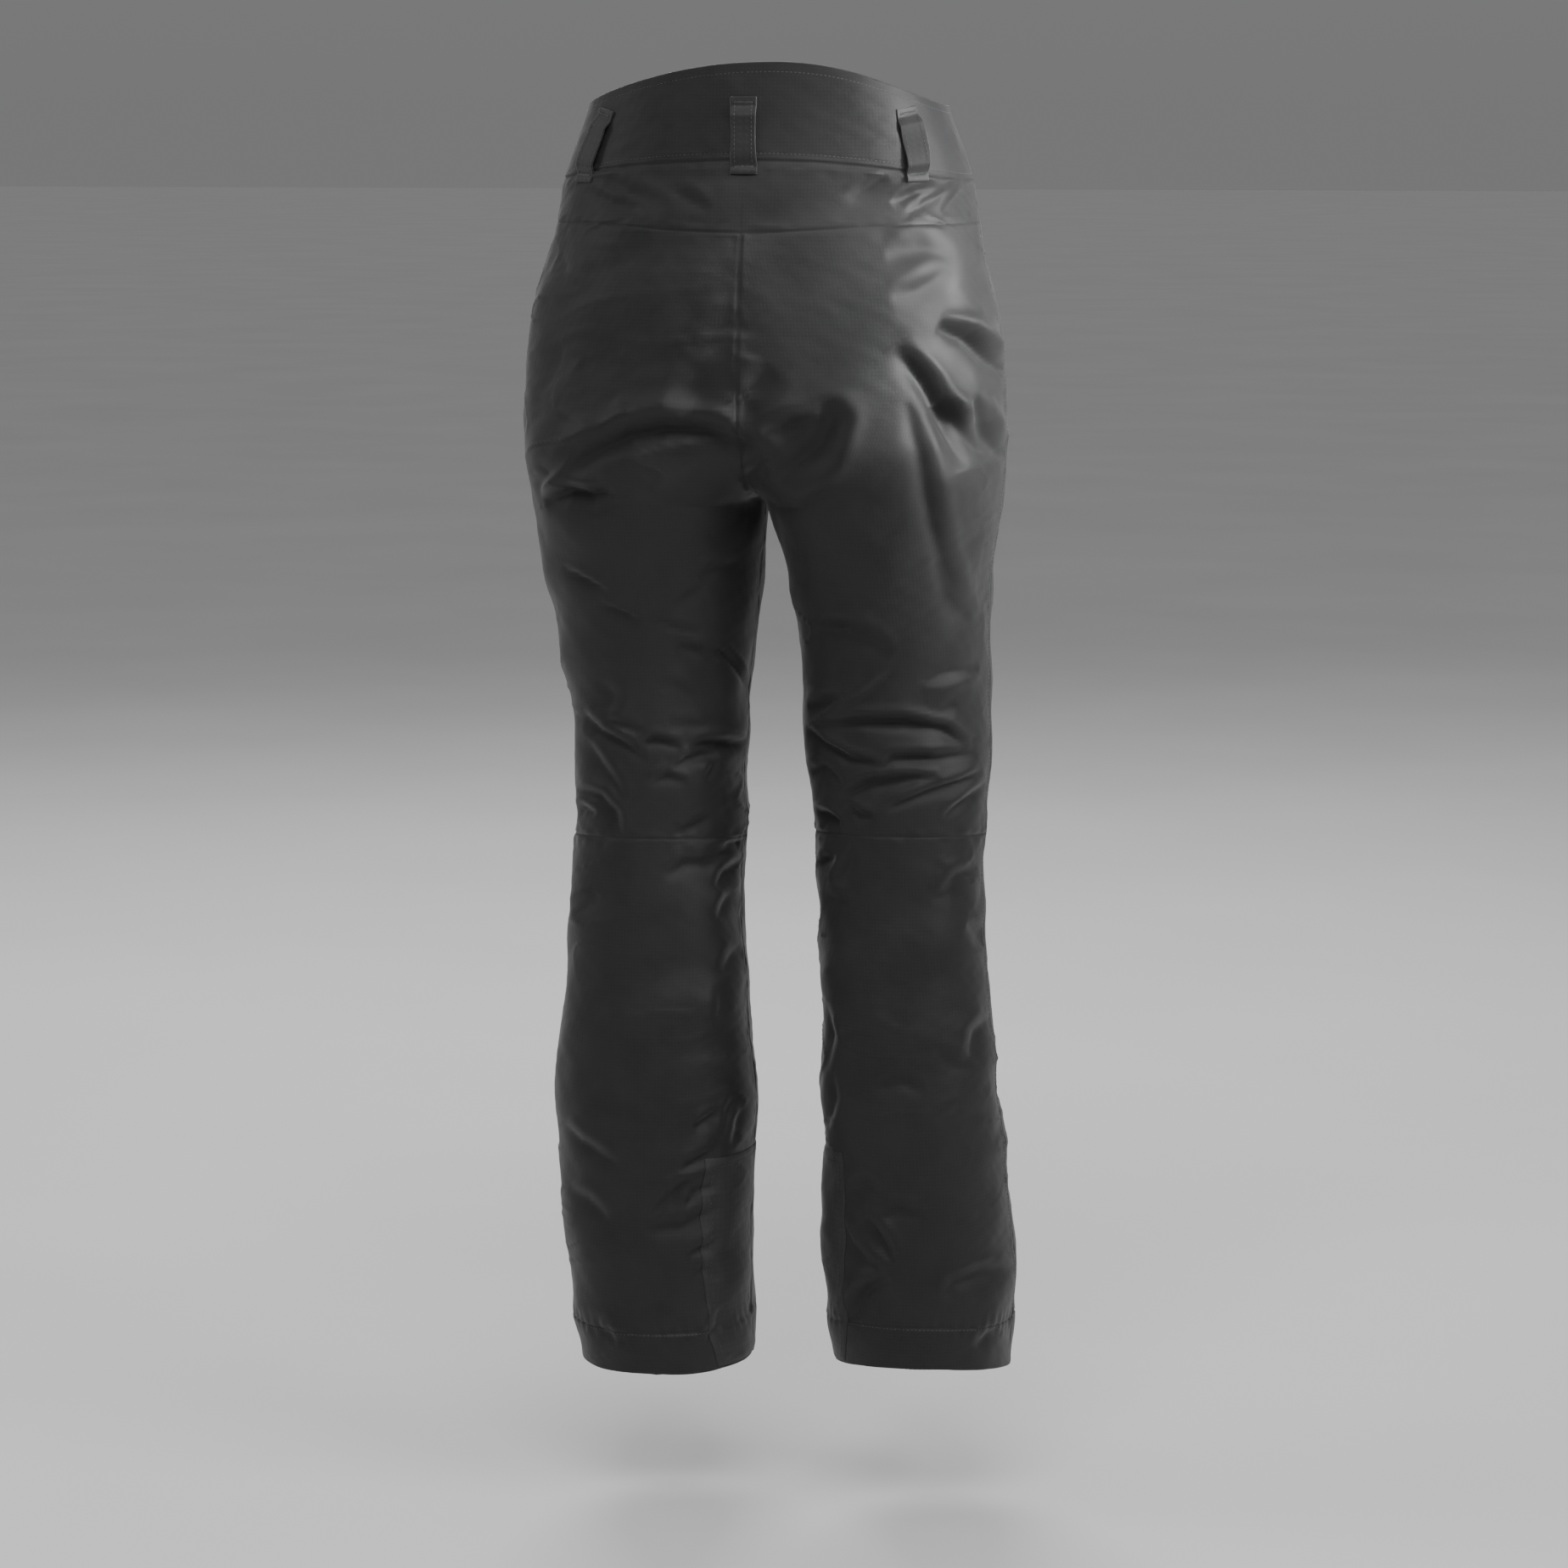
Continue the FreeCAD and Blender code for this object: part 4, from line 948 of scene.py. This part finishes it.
CAD_FINISHES = (  # by how a node's name starts or ends; the rest is lining
    ("_zip_tape", TAPE), ("_zip_teeth", TEETH), ("_zip_slider", ZIP_METAL), ("_zip_pull", RUBBER),
    ("snap_", SNAP), ("lace_hook", STEEL), ("fly_shield", SHELL),
)


def finish_cad_nodes():
    """Every CAD node that stays gets the finish of its slot."""
    for name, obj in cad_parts.items():
        if obj.hide_render:
            continue
        fits = [m for words, m in CAD_FINISHES if name.endswith(words) or name.startswith(words)]
        obj.data.materials.clear()
        obj.data.materials.append(fits[0] if fits else LINING)


# ---- the pieces ------------------------------------------------------------------------


def hip_blend(obj, side):
    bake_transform(obj)


def knee_blend(obj, side):
    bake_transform(obj)


def part_of(grid, rows, columns):
    return grid[rows[0] : rows[1] + 1, columns[0] : columns[1] + 1]


def both_sides(grids, rows, columns):
    """Left and right grids joined at their last (back) column."""
    left = part_of(grids["left"], rows, columns)
    right = part_of(grids["right"], rows, columns)
    return np.concatenate([left, right[:, -2::-1]], 1)


def line_on(side, v, t, lift=0.3):
    """A line on the cloth's face, from levels v and places round t, and its normals."""
    v, t = np.broadcast_arrays(np.asarray(v, float), np.asarray(t, float))
    n = unit(sample(CLOTH_N[side], v, t))
    return sample(CLOTH[side], v, t) + n * lift, n


FRONT = (0, MIDDLE_COLUMN)
BACK = (MIDDLE_COLUMN, len(COLUMNS) - 1)
FULL = (0, len(COLUMNS) - 1)
SHELL_THICK = 1.0
STITCH_SINK = -0.05


def panel(name, side, v0, v1, columns, thick=SHELL_THICK, rounded=(), lines=()):
    """One cut panel of the shell, with its rows of stitches."""
    rows = (row_at(v0), row_at(v1))
    build = Build()
    if side is None:
        p, n = both_sides(CLOTH, rows, columns), both_sides(CLOTH_N, rows, columns)
    else:
        p, n = part_of(CLOTH[side], rows, columns), part_of(CLOTH_N[side], rows, columns)
    sheet(build, p, n, thick, rounded=rounded)
    for where, v, t in lines:
        stitches(build, *line_on(where, v, t, STITCH_SINK))
    return build.make(name, (SHELL, THREAD))


def make_shell():
    around_back = np.linspace(0.503, 1.0, 200)
    around_front = np.linspace(0.0, 0.497, 200)
    edge = 6.5 / V_LENGTH[0]
    seam = offset_v(1, -4.2)
    lines = [(s, v, around_back) for s in SIDES for v in (edge, seam)]
    obj = panel("waistband_back_cloth", None, 0, 1, BACK, 2.0, (0,), lines)
    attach(obj, "pelvis")
    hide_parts("waistband_back")
    for side in SIDES:
        lines = [(side, v, around_front) for v in (edge, seam)]
        lines.append((side, np.linspace(edge, seam, 40), 0.012))
        obj = panel("waistband_front_cloth_" + side, side, 0, 1, FRONT, 2.0, (0,), lines)
        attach(obj, "pelvis")
        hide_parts("waistband_front_" + side)
    obj = panel("back_yoke_cloth", None, 1, 2, BACK)
    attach(obj, "pelvis")
    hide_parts("back_yoke")
    for side in SIDES:
        lines = [(side, np.linspace(2.03, 4.98, 300), 0.5 + 3.4 * T_MM)]
        obj = panel("seat_thigh_back_cloth_" + side, side, 2, 5, BACK, lines=lines)
        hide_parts("seat_panel_" + side, "hip_zone_" + side, "thigh_back_" + side)
        hip_blend(obj, side)
        lines = [(side, np.linspace(3.06, 3.95, 120), 3.2 * T_MM)]
        if side == "left":
            lines.append(fly_curve())
        obj = panel("hip_thigh_front_cloth_" + side, side, 1, 5, FRONT, lines=lines)
        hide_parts("front_hip_panel_" + side, "thigh_front_" + side)
        hip_blend(obj, side)
        lines = [(side, np.linspace(5.01, 6.99, 320), 0.5 + 3.4 * T_MM)]
        obj = panel("knee_shin_back_cloth_" + side, side, 5, 7, BACK, lines=lines)
        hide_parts("knee_zone_" + side, "shin_back_" + side)
        knee_blend(obj, side)
        obj = panel("knee_shin_front_cloth_" + side, side, 5, 7, FRONT)
        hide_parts("shin_front_" + side)
        knee_blend(obj, side)
        lines = [(side, offset_v(7, 1.5), np.linspace(0, 1, 400))]
        obj = hem_piece("hem_band_cloth_" + side, side, lines)
        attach(obj, "shin_" + side)
        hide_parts("hem_band_" + side)


def fly_curve():
    """The curved line of stitches that holds the fly's facing."""
    v = np.concatenate([np.linspace(1.03, 2.72, 120), np.linspace(2.72, 3.02, 60)[1:]])
    bend = np.clip((v - 2.45) / 0.57, 0, 1)
    t = 0.064 * np.sqrt(np.clip(1 - bend**2, 0, 1))
    return ("left", v, np.maximum(t, 0.002))


def hem_piece(name, side, lines):
    rows = (row_at(7), row_at(8))
    p = part_of(CLOTH[side], rows, FULL)[:, :-1]
    n = part_of(CLOTH_N[side], rows, FULL)[:, :-1]
    build = Build()
    sheet(build, p, n, 2.6, ring=True, rounded=(-1,))
    for where, v, t in lines:
        stitches(build, *line_on(where, v, t, STITCH_SINK))
    return build.make(name, (SHELL, THREAD))


def inside(side, v0, v1, depth):
    """The grid just inside the shell, a little looser than it."""
    rows = (row_at(v0), row_at(v1))
    p = part_of(BASE[side], rows, FULL)
    n = part_of(BASE_N[side], rows, FULL)
    ripple = 0.5 * waves(p, 31, 60) + 0.25 * waves(p, 32, 22)
    clear = np.clip(-part_of(RISES[side], rows, FULL) - 4, 0, 14)
    return p - n * (depth + ripple + clear)[..., None], n


LINING_LOW, LINING_DEPTH = -874, 7.5


def make_lining():
    for side in SIDES:
        for name, v0, v1, blend, nodes in (
            ("lining_upper_", 1, 5, hip_blend, ("lining_thigh_",)),
            ("lining_lower_", 5, v_at_height(LINING_LOW), knee_blend, ("lining_shin_",)),
        ):
            p, n = inside(side, v0, v1, LINING_DEPTH)
            top = row_at(4) - row_at(v0)
            if name == "lining_upper_":
                p[: top + 1, [0, -1], 0] = 0
            n = grid_normals_one(p, n)
            build = Build()
            sheet(build, p, n, 0.5)
            obj = build.make(name + side, (LINING,))
            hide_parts(*(m + side for m in nodes))
            if name == "lining_upper_":
                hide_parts("lining_hips")
            blend(obj, side)
    build = Build()
    rows = (1, row_at(1))
    pieces, normals = [], []
    for side, order in (("left", 1), ("right", -1)):
        p = part_of(BASE[side], rows, FULL)
        n = part_of(BASE_N[side], rows, FULL)
        pieces.append(p[:, ::order][:, :-1])
        normals.append(n[:, ::order][:, :-1])
    p, n = np.concatenate(pieces, 1), np.concatenate(normals, 1)
    sheet(build, p - n * 2.3, n, 2.2, ring=True, rounded=(0,))
    obj = build.make("waistband_facing_cloth", (LINING,))
    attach(obj, "pelvis")
    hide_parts("waistband_facing")


def grid_normals_one(p, like):
    """Smooth normals of one grid, turned the way that another set points."""
    n = unit(np.cross(np.gradient(p, axis=1), np.gradient(p, axis=0)))
    return np.where((n * like).sum(-1, keepdims=True) < 0, -n, n)


GAITER_TOP, GAITER_LOW, ELASTIC_LOW = -876, -1014, -1028
GAITER_TURN_IN = -890  # from here down the gaiter narrows to its ring
RING_X, RING_Y = 60, 66


def ring_at(centre, side, share, grow, z):
    """Points of the gaiter's ring at height z; share goes round from 0 to 1."""
    angle = np.pi * (2 * share - 1)
    x = centre[0] + SIDES[side] * (RING_X + grow) * np.cos(angle)
    y = centre[1] + (RING_Y + grow) * np.sin(angle)
    return np.stack([x, y, np.full(len(share), z)], -1)


def make_gaiters():
    turns = np.linspace(0, 1, 241)[:-1]
    for side in SIDES:
        ring_x = smooth_table(LEG[side], np.array([-1021.0]))[0, 0]
        centre = np.array([SIDES[side] * ring_x, 6.0])
        rows = []
        for z in np.linspace(GAITER_TOP, GAITER_LOW, 60):
            leg = sample(BASE[side], v_at_height(z), turns)
            n = sample(BASE_N[side], v_at_height(z), turns)
            wide = leg - n * 7.6
            narrow = ring_at(centre, side, turns, 0, z)
            share = (z - GAITER_TURN_IN) / (GAITER_LOW - GAITER_TURN_IN)
            share = float(np.clip(share, 0, 1)) ** 0.9
            gather = np.sin(2 * np.pi * 26 * turns + 1.2 * np.sin(2 * np.pi * 3 * turns))
            gather = 1.3 * share * gather
            q = wide * (1 - share) + narrow * share
            q[:, 2] = z
            rows.append(q + n * (gather - 0.4 * share)[:, None])
        p = np.array(rows)
        n = ring_normals(p, centre)
        build = Build()
        sheet(build, p, n, 0.9, ring=True)
        obj = build.make("gaiter_cloth_" + side, (GAITER,))
        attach(obj, "shin_" + side)
        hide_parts("gaiter_" + side)
        fine = np.linspace(0, 1, 481)[:-1]
        rib = 0.35 * np.sin(2 * np.pi * 96 * fine) - 0.5
        zs = np.linspace(GAITER_LOW, ELASTIC_LOW, 12)
        p = np.array([ring_at(centre, side, fine, rib, z) for z in zs])
        build = Build()
        sheet(build, p, ring_normals(p, centre), 2.0, ring=True, rounded=(0, -1))
        obj = build.make("gaiter_elastic_band_" + side, (ELASTIC,))
        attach(obj, "shin_" + side)
        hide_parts("gaiter_elastic_" + side)


def ring_normals(p, centre):
    round_ = np.roll(p, -1, 1) - np.roll(p, 1, 1)
    n = unit(np.cross(round_, np.gradient(p, axis=0)))
    away = p[..., :2] - centre
    flip = (n[..., 0] * away[..., 0] + n[..., 1] * away[..., 1]) < 0
    return np.where(flip[..., None], -n, n)


PATCH_TOP, PATCH_LOW = -859, -1036
PATCH_HALF_WIDTH = 70
PATCH_BACK, PATCH_FRONT = 0.142, 0.12  # reach round the leg from the inseam, as shares of it


def make_patches():
    """Tougher cloth inside each ankle, sewn on over the leg."""
    zs = np.linspace(PATCH_TOP, -1006, 84)
    zs = np.concatenate([zs, np.linspace(-1006, PATCH_LOW + 0.5, 18)[1:]])
    shares = np.linspace(-1, 1, 73)
    rim = (1 - np.abs(shares)) * PATCH_HALF_WIDTH
    for side in SIDES:
        rows_p, rows_n = [], []
        for z in zs:
            fall = np.clip((z + 1000) / -36, 0, 1)
            half_back = PATCH_BACK - 0.02 * fall**1.5 - 0.004 * math.sin((z - PATCH_TOP) / 30)
            t = np.where(shares > 0, 1 - half_back * shares, PATCH_FRONT * -shares)
            v = v_at_height(z)
            p = sample(CLOTH[side], v, t)
            n = unit(sample(CLOTH_N[side], v, t))
            edge = np.minimum(rim, min(abs(z - PATCH_TOP), abs(z - PATCH_LOW)))
            lift = 0.35 + 0.75 * np.sqrt(np.clip(edge / 2.2, 0, 1))
            lift -= 0.3 * bump(rim, 4.5, 0.9)
            rows_p.append(p + n * lift[:, None])
            rows_n.append(n)
        p, n = np.array(rows_p), np.array(rows_n)
        n = grid_normals_one(p, n)
        build = Build()
        sheet(build, p, n, 0.9)
        for k in (4, len(shares) - 5):
            stitches(build, p[2:-2, k] + n[2:-2, k] * 0.05, n[2:-2, k])
        stitches(build, p[4, 4:-4] + n[4, 4:-4] * 0.05, n[4, 4:-4])
        obj = build.make("scuff_patch_cloth_" + side, (SCUFF, THREAD))
        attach(obj, "shin_" + side)
        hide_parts("scuff_patch_" + side)


LOOPS = {
    # side, place round the waist, height of top and low end, lean of the low end, bow, roll
    "belt_loop_back_centre": ("left", 1.0, 7, -52, 1.5, 4.5, 6),
    "belt_loop_back_left": ("left", 0.712, -3, -59, -4, 4.5, -6),
    "belt_loop_back_right": ("right", 0.706, -2, -58, -7, 4.5, 22),
    "belt_loop_front_left": ("left", 0.215, -11, -67, 2, 4.5, 5),
    "belt_loop_front_right": ("right", 0.215, -11, -67, -2, 4.5, -5),
}


def level_at_height(side, t, z):
    """Grid level whose cloth lies at height z, above the crotch."""
    vs = np.linspace(0, 2.2, 200)
    heights = sample(CLOTH[side], vs, np.full(200, t))[:, 2]
    return np.interp(-np.asarray(z, float), -heights, vs)


def make_belt_loops():
    for name, (side, t, top, low, lean, bow, roll) in LOOPS.items():
        s = np.linspace(0, 1, 49)
        z = top + (low - top) * s
        v = level_at_height(side, t, z)
        p = sample(BASE[side], v, np.full(len(s), t))
        n = unit(sample(BASE_N[side], v, np.full(len(s), t)))
        down = unit(np.gradient(p, axis=0))
        across = unit(np.cross(down, n))
        seen_right = across if across[0, 0] < 0 else -across
        p = p + seen_right * (lean * (s - 0.4))[:, None]
        rise = smoothstep(0.1, 0.26, s) * (1 - smoothstep(0.78, 0.93, s))
        fold = bump(s, 0.965, 0.045)
        lift = 2.0 + bow * rise * (0.85 + 0.15 * np.cos(9 * s)) + 1.2 * fold
        p = p + n * lift[:, None]
        turn = np.radians(roll) * np.sin(np.pi * s) ** 1.3
        tilted = seen_right * np.cos(turn)[:, None] + n * np.sin(turn)[:, None]
        facing = n * np.cos(turn)[:, None] - seen_right * np.sin(turn)[:, None]
        slope = unit(np.gradient(p, axis=0))
        facing = unit(facing - slope * (facing * slope).sum(-1, keepdims=True))
        build = Build()
        half_width = 10.4 + 0.3 * np.sin(7 * s + lean)
        strap(build, p, tilted, facing, half_width, 1.7, cells=36, edge_dents=(0.72,))
        for at in (3, 44):
            place = p[at] + facing[at] * 1.0
            bar_tack(build, place, tilted[at], slope[at], facing[at], 15.0, 2.0)
        for k in (-0.72, 0.72):
            line = p + tilted * (k * 9.6) + facing * 0.72
            stitches(build, line[4:44], facing[4:44])
        obj = build.make(name + "_cloth", (TRIM, THREAD))
        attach(obj, "pelvis")
        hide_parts(name)


TAB_START, TAB_END, TAB_HEIGHT = 20, -38, -29.0


def make_waist_tab():
    xs = np.linspace(TAB_START, TAB_END, 60)
    path = np.stack([xs, front_y(xs, TAB_HEIGHT) - 4.2, np.full(len(xs), TAB_HEIGHT)], -1)
    along = unit(np.gradient(path, axis=0))
    up = np.tile([0.0, 0, 1], (len(xs), 1))
    out = np.cross(up, along)
    out = np.where(out[:, [1]] > 0, -out, out)
    edge = np.clip((xs - TAB_END) / 7, 0, 1)
    half_width = 10.5 + 4.5 * np.sqrt(np.clip(1 - (1 - edge) ** 2, 0, 1))
    build = Build()
    strap(build, path, up, out, half_width, 2.0, cells=40, edge_dents=(0.84,))
    for k in (-0.84, 0.84):
        line = path + up * (k * (half_width[:, None] - 1.0)) + out * 0.85
        stitches(build, line[2:-4], out[2:-4])
    obj = build.make("waist_tab_cloth", (SHELL, THREAD))
    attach(obj, "waist_tab")
    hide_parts("waist_tab")


def make_zip_welts():
    """Folded cloth edges on both sides of each zip."""
    for name, (top, across, out, up, length) in ZIPS.items():
        half, high, low, corner = 8.3, 2.0 if name == "fly" else 3.4, -length - 3.4, 3.0
        path = []
        centres = [(half - corner, high - corner, 0), (-half + corner, high - corner, 90),
                   (-half + corner, low + corner, 180), (half - corner, low + corner, 270)]
        for cx, cz, start in centres:
            for k in range(9):
                a = math.radians(start + 90 * k / 8)
                path.append((cx + corner * math.cos(a), cz + corner * math.sin(a)))
        path = refine_loop(np.array(path), 3.0)
        step = unit(np.roll(path, -1, 0) - np.roll(path, 1, 0))
        side = np.stack([step[:, 1], -step[:, 0]], -1)
        rings_p, rings_n = [], []
        wide, tall = 2.3, 1.25
        for k in range(13):
            a = 2 * math.pi * k / 13
            c = math.copysign(abs(math.cos(a)) ** 0.8, math.cos(a))
            s = math.copysign(abs(math.sin(a)) ** 0.8, math.sin(a))
            flat = path + side * (c * wide)
            lift = 0.7 + s * tall
            rings_p.append(top + flat[:, [0]] * across + flat[:, [1]] * up + lift * out)
            turned = side * (math.cos(a) / wide)
            rings_n.append(turned[:, [0]] * across + turned[:, [1]] * up + math.sin(a) / tall * out)
        p, n = (np.moveaxis(np.array(rings), 0, 1) for rings in (rings_p, rings_n))
        p, n = np.concatenate([p, p[:1]]), np.concatenate([n, n[:1]])
        build = Build()
        build.add(p, n, outward(p, n, quads(len(p), 13, True)))
        outer = path + side * (3.9 if (side[0] @ (path[0] - path.mean(0))) > 0 else -3.9)
        line = top + outer[:, [0]] * across + outer[:, [1]] * up + 1.0 * out
        stitches(build, line, np.tile(out, (len(line), 1)))
        obj = build.make(name + "_zip_welt", (SHELL, THREAD))
        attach(obj, "pelvis")


def refine_loop(path, gap):
    closed = np.concatenate([path, path[:1]])
    length = length_along(closed)
    s = []
    for a, b in zip(length, length[1:]):
        s += list(np.linspace(a, b, max(1, int(math.ceil((b - a) / gap))), endpoint=False))
    return np.stack([np.interp(s, length, closed[:, k]) for k in (0, 1)], -1)


make_shell()
make_lining()
make_gaiters()
make_patches()
make_belt_loops()
make_waist_tab()
make_zip_welts()
finish_cad_nodes()


# ---- floor, light, camera --------------------------------------------------------------

FLOOR_HALF, FLOOR_HEIGHT = 60.0, -1.155


def make_floor():
    mesh = bpy.data.meshes.new("floor")
    turns = ((-1, -1), (1, -1), (1, 1), (-1, 1))
    corners = [(x * FLOOR_HALF, y * FLOOR_HALF, FLOOR_HEIGHT) for x, y in turns]
    mesh.from_pydata(corners, [], [(0, 1, 2, 3)])
    floor = bpy.data.objects.new("floor", mesh)
    bpy.context.scene.collection.objects.link(floor)
    m, nodes, links, shader = new_material("floor", Roughness=0.85)
    place = node(nodes, "ShaderNodeTexCoord").outputs["Object"]
    noise = node(nodes, "ShaderNodeTexNoise", Scale=2.0, Detail=3.0)
    links.new(place, noise.inputs["Vector"])
    two_tone(nodes, links, shader, noise.outputs["Fac"], (0.66, 0.66, 0.66), (0.70, 0.70, 0.70))
    mesh.materials.append(m)


def area_light(name, place, aim, size, power, spread=180):
    data = bpy.data.lights.new(name, "AREA")
    data.shape = "RECTANGLE"
    data.size, data.size_y = size
    data.energy = power
    data.spread = math.radians(spread)
    light = bpy.data.objects.new(name, data)
    light.location = place
    light.rotation_euler = (Vector(aim) - Vector(place)).to_track_quat("-Z", "Y").to_euler()
    bpy.context.scene.collection.objects.link(light)


def make_lights():
    area_light("key", (-3.0, 1.3, 1.5), (0, 0, -0.3), (2.0, 2.0), 62)
    area_light("hip", (-1.5, 0.18, 0.3), (-0.15, 0, -0.16), (0.35, 0.35), 2.0, spread=24)
    area_light("back_top", (-0.4, 2.7, 2.5), (0, 0, -0.4), (2.4, 1.6), 90)
    area_light("front_top", (0.8, -2.8, 2.2), (0, 0, -0.5), (2.0, 1.4), 100)
    area_light("side", (3.2, 0.6, 1.2), (0, 0, -0.5), (1.2, 1.6), 22)
    world = bpy.data.worlds.new("studio")
    world.use_nodes = True
    nodes, links = world.node_tree.nodes, world.node_tree.links
    place = node(nodes, "ShaderNodeTexCoord").outputs["Generated"]
    split = node(nodes, "ShaderNodeSeparateXYZ")
    ramp = node(nodes, "ShaderNodeValToRGB")
    ramp.color_ramp.elements[0].color = (0.62, 0.62, 0.625, 1)
    ramp.color_ramp.elements[1].color = (1.0, 1.0, 1.0, 1)
    ramp.color_ramp.elements[1].position = 0.5
    links.new(place, split.inputs["Vector"])
    links.new(split.outputs["Z"], ramp.inputs["Fac"])
    links.new(ramp.outputs["Color"], nodes["Background"].inputs["Color"])
    nodes["Background"].inputs["Strength"].default_value = 0.3
    bpy.context.scene.world = world


CAMERA_AIM = (-11.8, -2.1, -555)
LENS = 103.7


def make_camera():
    data = bpy.data.cameras.new("camera")
    data.sensor_width = 36
    data.lens = LENS
    data.clip_end = 200
    camera = bpy.data.objects.new("camera", data)
    place = Vector((-math.sin(VIEW_TURN), math.cos(VIEW_TURN), 0)) * VIEW_DISTANCE * MM
    camera.location = place
    aim = Vector(CAMERA_AIM) * MM
    camera.rotation_euler = (aim - place).to_track_quat("-Z", "Y").to_euler()
    bpy.context.scene.collection.objects.link(camera)
    bpy.context.scene.camera = camera


make_floor()
make_lights()
make_camera()
